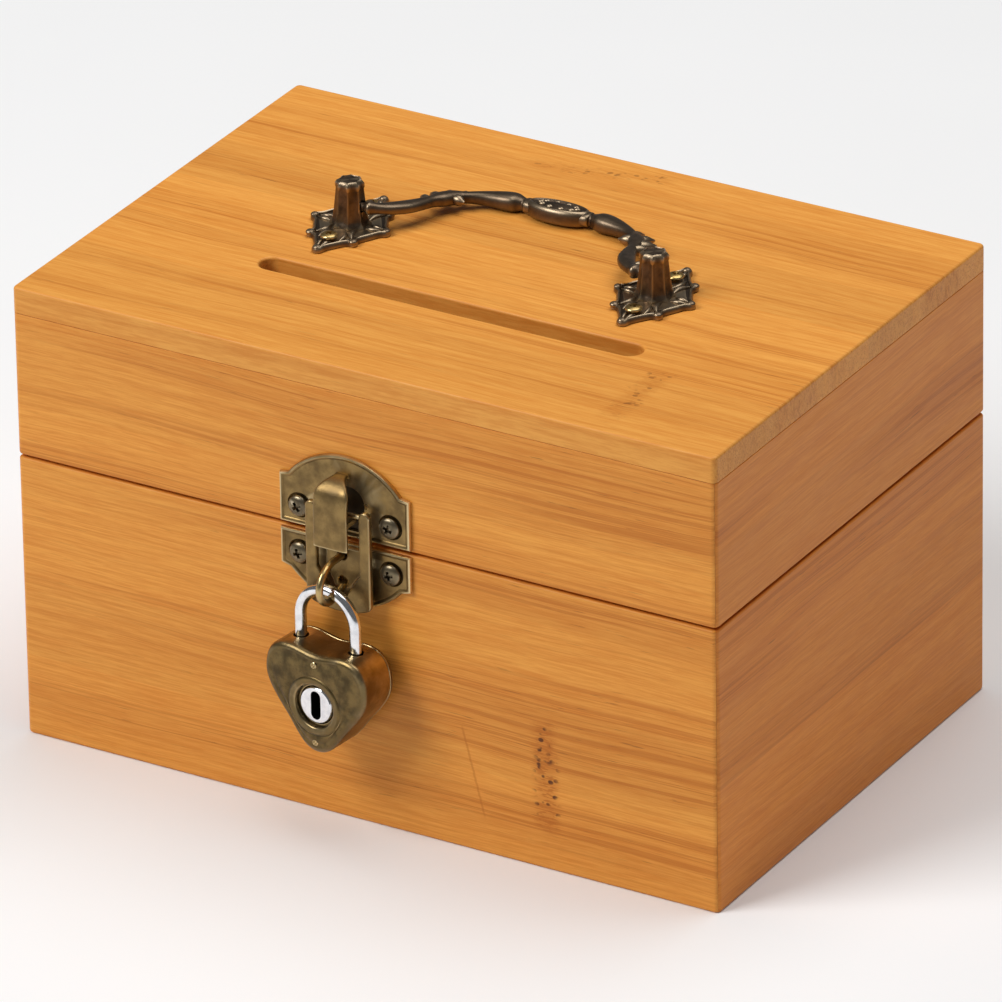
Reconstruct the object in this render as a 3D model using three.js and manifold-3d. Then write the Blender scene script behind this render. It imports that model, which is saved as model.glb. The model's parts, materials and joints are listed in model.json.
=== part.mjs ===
// A wooden money box: a bamboo box with a hinged lid, a coin slot, a bail handle, a hasp and a padlock.
// Millimetres. X runs along the front, Y from the front to the back, Z up.
// The origin is the centre of the box's underside.

import * as THREE from 'three';
import { mergeVertices } from 'three/addons/utils/BufferGeometryUtils.js';
import Module from 'manifold-3d';

const wasm = await Module();
wasm.setup();

// ---- Driving dimensions ----

const BOX = { width: 200, depth: 137, height: 124.5 };
const WALL = 8;                 // thickness of the side boards
const TOP = 7;                  // thickness of the top board
const FLOOR = 5;                // thickness of the floor board
const SEAM = 78;                // height of the joint between base and lid
const SEAM_GAP = 0.8;
const GLUE_GAP = 0.1;           // glue line between boards
const EASE = 0.8;               // chamfer on the upright corners
const FIT = 0.3;                // clearance between pieces that fit one another
const ROUND = 24;               // sides of a small round piece

const SLOT = { x: 1, y: -25.9, length: 109, width: 7 };

const HINGE = {
  x: 62, width: 26, height: 11, thick: 1, knuckle: 1.8, pin: 0.8, offset: 1.9, tab: 8, screwX: 8, screwZ: 7.5,
};

// The hasp's heights are measured from the seam, and its widths from its own centre line.
const HASP = {
  x: -4.1, halfWidth: 18.6, thick: 1.2, screwX: 13, screwZ: 6.4,
  upperEdge: 1.1, earTop: 14.5, archTop: 22.8, archHalf: 16, archFoot: 15,
  lowerEdge: -0.6, earBottom: 10.4, bellyBottom: 18.2, bellyHalf: 15.8, bellyFoot: 11.2,
  pivotZ: 9, pivotOut: 4.1,
};
const FRAME = {
  thick: 1.6, armIn: 6.1, armOut: 9.2, knuckle: 1.5, crossbar: 0.65,
  footSide: -16.1, footMiddle: -18.1, taperTop: -7, taperHalf: 2.6, taperZ: -12.4, toeHalf: 1.5, toeZ: -15.7,
};
const TONGUE = { width: 9.6, thick: 1.2, out: 7.6, top: 18, shelf: 7.4, slope: 5, crown: 3.9, window: 15.4 };
const PAD = { out: 2.6, half: 5.6, top: -1.2, taperZ: -7, toeHalf: 2.4, bottom: -12.6 };
const STAPLE = { wire: 0.95, topZ: -3.6, bottomZ: -11.8, reach: 13.7, drop: 10, rooted: 3 };

const HANDLE = {
  postX: 43.7, postY: 1, plateX: 11.5, plateY: 17.5, plateThick: 2,
  postBase: 4.6, postTop: 3.3, postHeight: 12, pivotUp: 6.5, lean: 8.6, rod: 1.6, tip: 1.2, screwY: 10.4,
};

const LOCK = {
  x: -5, y: -77, turn: -6.7, halfWidth: 15.6, bottom: 24.5, notch: 51.6, lobe: 52.6, thick: 12.3,
  shell: 2, cover: 1.6, edge: 1.4, legX: 8.5, rod: 1.55, archTop: 68.7, toeEnd: 45.4, heelEnd: 42,
  plugZ: 37.7, plug: 4.9, plugDepth: 7.6, boss: 7.4, mouth: 6.2, rivet: 0.9, rivetZ: [49, 27.6],
};
// The latch's bar points at the shackle's toe leg, and its foot hangs down towards the key plug.
const LATCH = { tip: -6.6, right: -1, footLeft: -4, half: 1.6, top: 47.7, barBottom: 46.2, footBottom: 44.2 };
const LATCH_SPRING = { radius: 1.1, wire: 0.2, z: 45.6, length: 4.6, turns: 5 };
const SHACKLE_SPRING = { radius: 1.3, wire: 0.22, bottom: 38.1, length: 3.6, turns: 3, inset: 0.3 };
const LUG = { back: 1.8, gap: 0.3 };

const SCREW = { head: 2.8, headThick: 1.4, shank: 1.2, length: 7 };
const SMALL_SCREW = { head: 2.2, headThick: 1, shank: 0.9, length: 5.5 };

const FRONT = -BOX.depth / 2;
const BACK = BOX.depth / 2;

// ---- Materials ----

const finish = (color, roughness, metalness) => (
  new THREE.MeshStandardMaterial({ color, roughness, metalness })
);
const BAMBOO = finish(0xd6923e, 0.55, 0);
const BRONZE = finish(0x5d4a2c, 0.45, 0.9);
const DARK_BRONZE = finish(0x3a332b, 0.5, 0.85);
const BRASS = finish(0x9a7b3c, 0.4, 0.9);
const SCREW_STEEL = finish(0x6b6358, 0.45, 0.9);
const CHROME = finish(0xd8d8da, 0.12, 1);
const SPRING_STEEL = finish(0x9a9a9c, 0.3, 1);

// ---- Solids ----

function solidOf(geometry) {
  const bare = geometry.clone();
  bare.deleteAttribute('normal');
  bare.deleteAttribute('uv');
  const merged = mergeVertices(bare, 1e-4);
  return new wasm.Manifold(new wasm.Mesh({
    numProp: 3,
    vertProperties: new Float32Array(merged.attributes.position.array),
    triVerts: new Uint32Array(merged.index.array),
  }));
}

function geometryOf(manifold) {
  const mesh = manifold.getMesh();
  const geometry = new THREE.BufferGeometry();
  geometry.setAttribute('position', new THREE.BufferAttribute(mesh.vertProperties, 3));
  geometry.setIndex(new THREE.BufferAttribute(mesh.triVerts, 1));
  return geometry;
}

function join(...geometries) {
  return geometryOf(geometries.map(solidOf).reduce((whole, piece) => whole.add(piece)));
}

function cut(geometry, ...cutters) {
  const whole = solidOf(geometry);
  return geometryOf(cutters.map(solidOf).reduce((left, cutter) => left.subtract(cutter), whole));
}

function common(geometry, other) {
  return geometryOf(solidOf(geometry).intersect(solidOf(other)));
}

// A block between two corners.
function block(low, high) {
  const [x, y, z] = high.map((value, i) => value - low[i]);
  return new THREE.BoxGeometry(x, y, z).translate(low[0] + x / 2, low[1] + y / 2, low[2] + z / 2);
}

// A round bar from one point along an axis ('x', 'y' or 'z').
function bar(axis, [x, y, z], length, radius, endRadius = radius, sides = ROUND) {
  const geometry = new THREE.CylinderGeometry(endRadius, radius, length, sides).translate(0, length / 2, 0);
  if (axis === 'x') geometry.rotateZ(-Math.PI / 2);
  if (axis === 'z') geometry.rotateX(Math.PI / 2);
  return geometry.translate(x, y, z);
}

function outline(points) {
  return new THREE.Shape(points.map(([x, y]) => new THREE.Vector2(x, y)));
}

// A flat outline (x, z) made thick, standing on the plane y = back and reaching towards the front.
function upright(shape, back, thick, curveSegments = 12) {
  return new THREE.ExtrudeGeometry(shape, { depth: thick, bevelEnabled: false, curveSegments })
    .rotateX(Math.PI / 2)
    .translate(0, back, 0);
}

// A flat outline (x, y) made thick, lying on the plane z = bottom.
function flat(shape, bottom, thick, curveSegments = 12) {
  return new THREE.ExtrudeGeometry(shape, { depth: thick, bevelEnabled: false, curveSegments })
    .translate(0, 0, bottom);
}

// A side view (y, z) made wide along x, centred on the given x.
function sideways(shape, x, width) {
  return new THREE.ExtrudeGeometry(shape, { depth: width, bevelEnabled: false, curveSegments: 8 })
    .rotateX(Math.PI / 2)
    .rotateZ(Math.PI / 2)
    .translate(x - width / 2, 0, 0);
}

// A rod along a curve, with an even number of sides.
function rod(points, radius, steps, sides = 8) {
  const section = new THREE.Shape().absarc(0, 0, radius, 0, Math.PI * 2);
  const stops = points.map((point) => new THREE.Vector3(...point));
  const extrudePath = new THREE.CatmullRomCurve3(stops, false, 'centripetal');
  return new THREE.ExtrudeGeometry(section, { steps, extrudePath, curveSegments: sides / 2 });
}

function piece(name, geometry, material) {
  const mesh = new THREE.Mesh(geometry, material);
  mesh.name = name;
  return mesh;
}

// ---- Screws ----

// Every screw: its name, where its head sits, the way its shank points, its size and its colour.
const HASP_SCREWS = ['upper', 'lower'].flatMap((row) => ['left', 'right'].map((side) => ({
  name: `hasp_screw_${row}_${side}`,
  at: [
    HASP.x + (side === 'left' ? -1 : 1) * HASP.screwX,
    FRONT - HASP.thick,
    SEAM + (row === 'upper' ? 1 : -1) * HASP.screwZ,
  ],
  into: 'back',
  size: SCREW,
  material: SCREW_STEEL,
})));

const HANDLE_SCREWS = ['left', 'right'].flatMap((side) => ['front', 'rear'].map((end) => ({
  name: `handle_screw_${side}_${end}`,
  at: [
    (side === 'left' ? -1 : 1) * HANDLE.postX,
    HANDLE.postY + (end === 'front' ? -1 : 1) * HANDLE.screwY,
    BOX.height + HANDLE.plateThick,
  ],
  into: 'down',
  size: SMALL_SCREW,
  material: BRASS,
})));

const HINGE_SCREWS = ['left', 'right'].flatMap((side) => ['base', 'lid'].flatMap((leaf) => (
  [-1, 1].map((hand) => ({
    name: `hinge_screw_${side}_${leaf}_${hand < 0 ? 'a' : 'b'}`,
    at: [
      (side === 'left' ? -1 : 1) * HINGE.x + hand * HINGE.screwX,
      BACK + HINGE.thick,
      SEAM + (leaf === 'base' ? -1 : 1) * HINGE.screwZ,
    ],
    into: 'front',
    size: SMALL_SCREW,
    material: BRASS,
  }))
)));

// Turns a screw made along +Z (head up) so that its shank points the given way.
function aim(geometry, { at, into }) {
  if (into === 'back') geometry.rotateX(Math.PI / 2);
  if (into === 'front') geometry.rotateX(-Math.PI / 2);
  return geometry.translate(...at);
}

function screw({ name, at, into, size, material }) {
  const profile = [
    new THREE.Vector2(0, -size.length),
    new THREE.Vector2(size.shank, -size.length + 2 * size.shank),
    new THREE.Vector2(size.shank, 0.05),
    new THREE.Vector2(size.head, 0.05),
    new THREE.Vector2(size.head * 0.75, size.headThick),
    new THREE.Vector2(0, size.headThick),
  ];
  const body = new THREE.LatheGeometry(profile, 12).rotateX(Math.PI / 2);
  const arm = size.head * 0.5;
  const half = size.head * 0.12;
  const floor = size.headThick * 0.45;
  const recess = [
    block([-arm, -half, floor], [arm, half, size.headThick + 1]),
    block([-half, -arm, floor], [half, arm, size.headThick + 1]),
  ];
  return piece(name, aim(cut(body, ...recess), { at, into }), material);
}

// The pilot holes that a group of screws needs, for cutting out of boards and plates.
function pilots(screws) {
  const deeper = 1;
  return screws.map(({ at, into, size }) => {
    const length = size.length + deeper + 3;
    const hole = bar('z', [0, 0, -size.length - deeper], length, size.shank + FIT, undefined, 12);
    return aim(hole, { at, into });
  });
}

// ---- Boards ----

// One of four boards round a mitred frame, seen from above: side 0 front, 1 right, 2 back, 3 left.
function mitredBoard(side, bottom, height) {
  const along = side % 2 ? BOX.depth : BOX.width;
  const out = (side % 2 ? BOX.width : BOX.depth) / 2;
  const half = along / 2 - GLUE_GAP;
  const shape = outline([
    [-half + EASE, -out], [half - EASE, -out], [half - EASE / 2, -out + EASE / 2],
    [half - WALL, -out + WALL], [-half + WALL, -out + WALL], [-half + EASE / 2, -out + EASE / 2],
  ]);
  return flat(shape, bottom, height).rotateZ(side * Math.PI / 2);
}

function baseBoards() {
  const height = SEAM - SEAM_GAP / 2;
  const hasp = HASP_SCREWS.filter(({ at }) => at[2] < SEAM);
  const hinge = HINGE_SCREWS.filter(({ at }) => at[2] < SEAM);
  const inner = [BOX.width / 2 - WALL - GLUE_GAP, BOX.depth / 2 - WALL - GLUE_GAP];
  return [
    piece('base_floor', block([-inner[0], -inner[1], 0], [inner[0], inner[1], FLOOR]), BAMBOO),
    piece('base_front_wall', cut(mitredBoard(0, 0, height), ...pilots(hasp), ...stapleHoles()), BAMBOO),
    piece('base_right_wall', mitredBoard(1, 0, height), BAMBOO),
    piece('base_back_wall', cut(mitredBoard(2, 0, height), ...pilots(hinge)), BAMBOO),
    piece('base_left_wall', mitredBoard(3, 0, height), BAMBOO),
  ];
}

function lidBoards() {
  const bottom = SEAM + SEAM_GAP / 2;
  const height = BOX.height - TOP - GLUE_GAP - bottom;
  const hasp = HASP_SCREWS.filter(({ at }) => at[2] > SEAM);
  const hinge = HINGE_SCREWS.filter(({ at }) => at[2] > SEAM);
  return [
    piece('lid_top_board', cut(topBoard(), ...pilots(HANDLE_SCREWS)), BAMBOO),
    piece('lid_front_rail', cut(mitredBoard(0, bottom, height), ...pilots(hasp)), BAMBOO),
    piece('lid_right_rail', mitredBoard(1, bottom, height), BAMBOO),
    piece('lid_back_rail', cut(mitredBoard(2, bottom, height), ...pilots(hinge)), BAMBOO),
    piece('lid_left_rail', mitredBoard(3, bottom, height), BAMBOO),
  ];
}

function topBoard() {
  const x = BOX.width / 2;
  const y = BOX.depth / 2;
  const board = outline([
    [-x + EASE, -y], [x - EASE, -y], [x, -y + EASE], [x, y - EASE],
    [x - EASE, y], [-x + EASE, y], [-x, y - EASE], [-x, -y + EASE],
  ]);
  const end = SLOT.length / 2 - SLOT.width / 2;
  const slot = new THREE.Path();
  slot.absarc(SLOT.x + end, SLOT.y, SLOT.width / 2, -Math.PI / 2, Math.PI / 2);
  slot.absarc(SLOT.x - end, SLOT.y, SLOT.width / 2, Math.PI / 2, Math.PI * 1.5);
  board.holes.push(slot);
  return flat(board, BOX.height - TOP, TOP);
}

// ---- Back hinges ----

const PIN_Y = BACK + HINGE.offset;

// A leaf with its knuckles: the lid's leaf has the middle knuckle and the base's leaf the outer two.
function hingeLeaf(side, onLid) {
  const x = side * HINGE.x;
  const half = HINGE.width / 2;
  const up = onLid ? 1 : -1;
  const clear = HINGE.knuckle + 0.4;
  const zs = [SEAM + up * clear, SEAM + up * (clear + HINGE.height - 1)];
  const z0 = Math.min(...zs);
  const z1 = Math.max(...zs);
  const leaf = block([x - half, BACK, z0], [x + half, BACK + HINGE.thick, z1]);
  const tab = HINGE.tab / 2;
  const spans = onLid ? [[-tab, tab]] : [[-half, -tab - FIT], [tab + FIT, half]];
  const neck = [SEAM + up * 0.6, SEAM + up * (clear + 0.5)];
  const knuckles = spans.flatMap(([a, b]) => [
    bar('x', [x + a, PIN_Y, SEAM], b - a, HINGE.knuckle),
    block([x + a, BACK, Math.min(...neck)], [x + b, BACK + HINGE.thick, Math.max(...neck)]),
  ]);
  const bore = bar('x', [x - half - 1, PIN_Y, SEAM], HINGE.width + 2, HINGE.pin + FIT);
  return cut(join(leaf, ...knuckles), bore, ...pilots(HINGE_SCREWS));
}

function hingePin(side) {
  return bar('x', [side * HINGE.x - HINGE.width / 2, PIN_Y, SEAM], HINGE.width, HINGE.pin);
}

// ---- Hasp ----

// An outline in the hasp's own x and z, moved to its place on the box's front.
const onFront = (geometry) => geometry.translate(HASP.x, 0, SEAM);

// The lid's plate: square ears, then an arch between them.
function upperPlateOutline() {
  const rise = HASP.archTop - HASP.archFoot;
  const radius = (HASP.archHalf ** 2 + rise ** 2) / (2 * rise);
  const start = Math.asin(HASP.archHalf / radius);
  const shape = new THREE.Shape();
  shape.moveTo(-HASP.halfWidth, HASP.upperEdge);
  shape.lineTo(HASP.halfWidth, HASP.upperEdge);
  shape.lineTo(HASP.halfWidth, HASP.earTop);
  shape.absarc(0, HASP.archTop - radius, radius, Math.PI / 2 - start, Math.PI / 2 + start, false);
  shape.lineTo(-HASP.halfWidth, HASP.earTop);
  return shape;
}

// The base's plate: the same ears upside down, then a shallower belly.
function lowerPlateOutline() {
  const drop = HASP.bellyBottom - HASP.bellyFoot;
  const radius = (HASP.bellyHalf ** 2 + drop ** 2) / (2 * drop);
  const start = Math.asin(HASP.bellyHalf / radius);
  const shape = new THREE.Shape();
  shape.moveTo(HASP.halfWidth, HASP.lowerEdge);
  shape.lineTo(-HASP.halfWidth, HASP.lowerEdge);
  shape.lineTo(-HASP.halfWidth, -HASP.earBottom);
  shape.absarc(0, radius - HASP.bellyBottom, radius, Math.PI * 1.5 - start, Math.PI * 1.5 + start, false);
  shape.lineTo(HASP.halfWidth, -HASP.earBottom);
  return shape;
}

// The tongue in side view (y, z): out of the plate at its top, over, down the front, and back in as a
// shelf that the crossbar rests on.
function tongueProfile() {
  const plate = FRONT - HASP.thick;
  const face = FRONT - TONGUE.out;
  const inside = face + TONGUE.thick;
  const shelfEnd = plate - 0.5;
  const { thick, top, shelf, slope } = TONGUE;
  return outline([
    [FRONT, top], [plate, top], [face + 1.6, top - 2.2], [face, top - slope],
    [face, 0], [inside, 0], [inside, shelf - thick], [shelfEnd, shelf - thick],
    [shelfEnd, shelf], [inside, shelf], [inside, top - slope - 0.4],
    [inside + 1.2, top - 3.4], [plate, top - thick - 0.4], [FRONT, top - thick - 0.4],
  ]);
}

function tongueFront() {
  const half = TONGUE.width / 2;
  const shoulder = TONGUE.top + 0.5 - TONGUE.crown;
  const shape = new THREE.Shape();
  shape.moveTo(-half, -1);
  shape.lineTo(half, -1);
  shape.lineTo(half, shoulder);
  shape.absellipse(0, shoulder, half, TONGUE.crown, 0, Math.PI, false);
  return shape;
}

function upperPlate() {
  const plate = upright(upperPlateOutline(), FRONT, HASP.thick);
  const half = TONGUE.width / 2 + 0.4;
  const window = block([-half, FRONT - 3, 0], [half, FRONT + 1, TONGUE.window]);
  const tongue = common(sideways(tongueProfile(), 0, TONGUE.width), upright(tongueFront(), FRONT + 1, 12));
  return cut(onFront(join(cut(plate, window), tongue)), ...pilots(HASP_SCREWS));
}

// The lower plate carries a thicker pad round the staple's legs.
function lowerPlate() {
  const { half, top, taperZ, toeHalf, bottom } = PAD;
  const padOutline = outline([
    [-half, taperZ], [-toeHalf, bottom], [toeHalf, bottom], [half, taperZ], [half, top], [-half, top],
  ]);
  const plate = join(upright(lowerPlateOutline(), FRONT, HASP.thick), upright(padOutline, FRONT, PAD.out));
  return cut(onFront(plate), ...pilots(HASP_SCREWS), ...stapleHoles());
}

const PIVOT_Y = FRONT - HASP.pivotOut;

// The swinging frame: two arms, and a foot with a tapered window that passes over the staple.
function haspFrame() {
  const { armIn, armOut, taperTop, taperHalf, taperZ, toeHalf, toeZ, footSide, footMiddle } = FRAME;
  const { pivotZ } = HASP;
  const shape = new THREE.Shape();
  shape.moveTo(-armOut, footSide);
  shape.quadraticCurveTo(0, 2 * footMiddle - footSide, armOut, footSide);
  for (const [x, z] of [
    [armOut, pivotZ], [armIn, pivotZ], [armIn, taperTop], [taperHalf, taperZ], [toeHalf, toeZ],
    [-toeHalf, toeZ], [-taperHalf, taperZ], [-armIn, taperTop], [-armIn, pivotZ], [-armOut, pivotZ],
  ]) shape.lineTo(x, z);
  const frame = onFront(upright(shape, PIVOT_Y + FRAME.thick / 2, FRAME.thick));
  const width = armOut - armIn;
  const knuckles = [-armOut, armIn].map((left) => (
    bar('x', [HASP.x + left, PIVOT_Y, SEAM + pivotZ], width, FRAME.knuckle, undefined, 16)
  ));
  return cut(join(frame, ...knuckles), crossbarAlong(armOut + 1, FRAME.crossbar + 0.2));
}

// The bar through the frame's arms, which turns inside the tongue's fold.
function crossbarAlong(half, radius) {
  return bar('x', [HASP.x - half, PIVOT_Y, SEAM + HASP.pivotZ], 2 * half, radius, undefined, 12);
}

// The staple's two legs in the box's front.
const STAPLE_LEGS = [STAPLE.topZ, STAPLE.bottomZ].map((z) => SEAM + z);

function stapleHoles() {
  const deep = STAPLE.rooted + 1;
  const out = 6;
  return STAPLE_LEGS.map((z) => (
    bar('y', [HASP.x, FRONT - out, z], out + deep, STAPLE.wire + FIT, undefined, 16)
  ));
}

// Straight legs out of the wood, then a rounded nose that dips below the lower leg.
function stapleRing() {
  const [top, bottom] = STAPLE_LEGS;
  const { rooted, reach, drop } = STAPLE;
  const at = (out, z) => [HASP.x, FRONT - out, z];
  const upper = [at(-rooted, top), at(1, top), at(4, top + 0.1), at(8.4, top)];
  const nose = [
    at(reach - 1.5, top - 1.9), at(reach, top - 5.2), at(reach - 1.3, top - 8.3), at(9, top - drop),
  ];
  const lower = [at(6, top - drop + 0.4), at(3.4, bottom + 0.05), at(1, bottom), at(-rooted, bottom)];
  return rod([...upper, ...nose, ...lower], STAPLE.wire, 30);
}

// ---- Handle ----

const HANDLE_PIVOT = [0, HANDLE.postY, BOX.height + HANDLE.pivotUp];

function handlePost(side) {
  const x = side * HANDLE.postX;
  const { plateX, plateY, postY } = HANDLE;
  const half = outline([[-plateX, 0], [0, -plateY], [plateX, 0], [0, plateY]]);
  const plate = flat(half, 0, HANDLE.plateThick).translate(x, postY, BOX.height);
  const foot = BOX.height + HANDLE.plateThick;
  const turn = Math.PI / 8;
  const post = bar('z', [0, 0, -0.5], HANDLE.postHeight - 1, HANDLE.postBase, HANDLE.postTop + 0.3, 8)
    .rotateZ(turn)
    .translate(x, postY, foot);
  const cap = bar('z', [0, 0, HANDLE.postHeight - 2], 1, HANDLE.postTop + 0.3, HANDLE.postTop - 0.5, 8)
    .rotateZ(turn)
    .translate(x, postY, foot + 0.5);
  const socket = 7.2;
  const inward = side * (HANDLE.postX - HANDLE.postBase + 0.5);
  const mouth = bar('x', [inward - socket / 2, postY, HANDLE_PIVOT[2]], socket, HANDLE.tip + 0.4);
  return cut(join(plate, post, cap), mouth, ...pilots(HANDLE_SCREWS));
}

// The bail lies back on the lid. Its curve is drawn flat, pivot line along x, then leaned.
function handleBail() {
  const reach = 28.6;
  const half = [
    [39, 0], [36.8, 0.9], [34, 3.6], [31.2, 7.8], [29.2, 12.6], [28.3, 17], [26.6, 21], [22.6, 25],
    [17.6, 27.7], [11.6, 28.8], [0, reach],
  ];
  const left = half.map(([x, v]) => [-x, v, 0]);
  const right = half.slice(0, -1).reverse().map(([x, v]) => [x, v, 0]);
  const swelling = (size, x, v, sides = 10) => (
    new THREE.SphereGeometry(1, sides, sides / 2 + 1).scale(...size).translate(x, v, 0)
  );
  const tipLength = 4.6;
  const parts = [-1, 1].flatMap((side) => [
    bar('x', [side * (half[0][0] + 1.3) - tipLength / 2, 0, 0], tipLength, HANDLE.tip),
    swelling([4.2, 2.4, 2.1], side * 12, reach + 0.2),
    swelling([3, 4.6, 1.9], side * 28, 18),
  ]);
  const medallion = swelling([8.2, 3.7, 1.8], 0, reach, 16);
  const bail = join(rod([...left, ...right], HANDLE.rod, 44), ...parts, medallion);
  return bail.rotateX(-THREE.MathUtils.degToRad(HANDLE.lean)).translate(...HANDLE_PIVOT);
}

// ---- Padlock ----
// It is drawn upright in its own frame: x across, y to the back from the shackle's plane, z as the box's.

// A heart whose outline is drawn in by the given amount.
function heart(inset = 0) {
  const w = LOCK.halfWidth - inset;
  const bottom = LOCK.bottom + inset * 1.3;
  const lobe = LOCK.lobe - inset;
  const notch = LOCK.notch - inset * 1.1;
  const shape = new THREE.Shape();
  shape.moveTo(0, bottom);
  shape.bezierCurveTo(w * 0.28, bottom, w * 0.4, bottom + 4.5, w * 0.62, bottom + 8.6);
  shape.bezierCurveTo(w * 0.86, bottom + 13, w, bottom + 16, w, bottom + 19.5 - inset * 0.5);
  shape.bezierCurveTo(w, lobe - 3.2, w * 0.86, lobe, w * 0.52, lobe);
  shape.bezierCurveTo(w * 0.34, lobe, w * 0.16, notch, 0, notch);
  shape.bezierCurveTo(-w * 0.16, notch, -w * 0.34, lobe, -w * 0.52, lobe);
  shape.bezierCurveTo(-w * 0.86, lobe, -w, lobe - 3.2, -w, bottom + 19.5 - inset * 0.5);
  shape.bezierCurveTo(-w, bottom + 16, -w * 0.86, bottom + 13, -w * 0.62, bottom + 8.6);
  shape.bezierCurveTo(-w * 0.4, bottom + 4.5, -w * 0.28, bottom, 0, bottom);
  return shape;
}

const LOCK_BACK = LOCK.thick / 2;
const SHELL_BACK = LOCK_BACK - LOCK.cover - FIT;

// The holes for the shackle's legs, open at the case's top.
function legHoles() {
  return [-1, 1].map((side) => (
    bar('z', [side * LOCK.legX, 0, LOCK.lobe - 6], 10, LOCK.rod + 0.45, undefined, 20)
  ));
}

function rivetHoles() {
  return LOCK.rivetZ.map((z) => (
    bar('y', [0, -LOCK_BACK - 1, z], LOCK.thick + 2, LOCK.rivet + FIT, undefined, 12)
  ));
}

const CAVITY_FRONT = -LOCK_BACK + 3;

// Two lugs cast inside the front shell: one behind the latch's spring, one under the shackle's spring.
function lugs() {
  const latchEnd = LATCH.right + LUG.gap + LATCH_SPRING.length + LUG.gap;
  const seat = SHACKLE_SPRING.bottom - LUG.gap;
  const x = LOCK.legX - SHACKLE_SPRING.inset;
  return [
    block([latchEnd, CAVITY_FRONT - 1, LATCH.footBottom], [latchEnd + 1.2, LUG.back, LATCH.top - 0.5]),
    block([x - 1.8, CAVITY_FRONT - 1, seat - 1.6], [x + 1.6, LUG.back, seat]),
  ];
}

function caseFront() {
  const edge = LOCK.edge;
  const depth = 20;
  const eased = new THREE.ExtrudeGeometry(heart(edge), {
    depth, bevelEnabled: true, bevelThickness: edge, bevelSize: edge, bevelSegments: 3, curveSegments: 7,
  }).rotateX(Math.PI / 2).translate(0, depth + edge - LOCK_BACK, 0);
  const keep = block([-30, -30, 0], [30, SHELL_BACK, 100]);
  const boss = bar('y', [0, -LOCK_BACK - 0.6, LOCK.plugZ], 2, LOCK.boss, LOCK.boss + 0.6, 32);
  const cavity = upright(heart(LOCK.shell), SHELL_BACK + 1, SHELL_BACK + 1 - CAVITY_FRONT, 7);
  const bore = bar('y', [0, -LOCK_BACK - 2, LOCK.plugZ], 10, LOCK.plug + FIT, undefined, 32);
  const mouth = bar('y', [0, -LOCK_BACK - 2, LOCK.plugZ], 2.6, LOCK.mouth, undefined, 32);
  const shell = cut(join(common(eased, keep), boss), cavity, bore, mouth, ...legHoles(), ...rivetHoles());
  return join(shell, ...lugs());
}

function caseBack() {
  return cut(upright(heart(0), LOCK_BACK, LOCK.cover, 7), ...rivetHoles());
}

function rivet(z) {
  const proud = 0.3;
  return bar('y', [0, -LOCK_BACK - proud, z], LOCK.thick + proud, LOCK.rivet, undefined, 12);
}

// A round arch: the toe leg (left) is short and notched for the latch, and the heel leg stays in the case.
function shackle() {
  const { legX, rod: radius, archTop, toeEnd, heelEnd, lobe } = LOCK;
  const spring = archTop - radius - legX;
  const arc = [150, 120, 90, 60, 30].map((degrees) => {
    const angle = THREE.MathUtils.degToRad(degrees);
    return [legX * Math.cos(angle), 0, spring + legX * Math.sin(angle)];
  });
  const toe = [[-legX, 0, toeEnd], [-legX, 0, lobe], [-legX, 0, spring]];
  const heel = [[legX, 0, spring], [legX, 0, lobe], [legX, 0, heelEnd]];
  const notch = block(
    [-legX + radius / 2, -radius * 2, LATCH.barBottom - 0.2],
    [-legX + radius * 2, radius * 2, LATCH.top + 0.2],
  );
  return cut(rod([...toe, ...arc, ...heel], radius, 36), notch);
}

// The key plug: a drum with a round-ended key slot.
function keyPlug() {
  const front = -LOCK_BACK + 0.9;
  const drum = bar('y', [0, front, LOCK.plugZ], LOCK.plugDepth, LOCK.plug, undefined, 32);
  const reach = 2.7;
  const slotDepth = 5;
  const slot = new THREE.Shape();
  slot.absarc(0, reach, 1.6, 0, Math.PI, false);
  slot.absarc(0, -reach, 1.6, Math.PI, Math.PI * 2, false);
  const keyway = upright(slot, front + slotDepth, slotDepth + 1, 6).translate(0, 0, LOCK.plugZ);
  return cut(drum, keyway);
}

function latch() {
  const { tip, right, footLeft, half, top, barBottom, footBottom } = LATCH;
  const pointer = block([tip, -half, barBottom], [right, half, top]);
  const foot = block([footLeft, -half, footBottom], [right, half, top]);
  return join(pointer, foot);
}

// A coil standing on z = 0.
function coil({ length, radius, wire, turns }) {
  const perTurn = 8;
  const steps = turns * perTurn;
  const points = [];
  for (let i = 0; i <= steps; i += 1) {
    const angle = (i / perTurn) * Math.PI * 2;
    const z = wire + (i / steps) * (length - 2 * wire);
    points.push([radius * Math.cos(angle), radius * Math.sin(angle), z]);
  }
  return rod(points, wire, steps, 4);
}

function padlock() {
  const group = new THREE.Group();
  group.position.set(LOCK.x, LOCK.y, 0);
  group.rotation.z = THREE.MathUtils.degToRad(LOCK.turn);
  const latchSpring = coil(LATCH_SPRING)
    .rotateY(Math.PI / 2)
    .translate(LATCH.right + LUG.gap, 0, LATCH_SPRING.z);
  const shackleSpring = coil(SHACKLE_SPRING)
    .translate(LOCK.legX - SHACKLE_SPRING.inset, 0, SHACKLE_SPRING.bottom);
  const [upperRivet, lowerRivet] = LOCK.rivetZ.map(rivet);
  group.add(
    piece('padlock_case_front', caseFront(), BRONZE),
    piece('padlock_case_back', caseBack(), BRONZE),
    piece('padlock_rivet_upper', upperRivet, BRASS),
    piece('padlock_rivet_lower', lowerRivet, BRASS),
    piece('padlock_shackle', shackle(), CHROME),
    piece('padlock_key_plug', keyPlug(), CHROME),
    piece('padlock_latch', latch(), SPRING_STEEL),
    piece('padlock_latch_spring', latchSpring, SPRING_STEEL),
    piece('padlock_shackle_spring', shackleSpring, SPRING_STEEL),
  );
  return group;
}

// ---- The whole box ----

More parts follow.
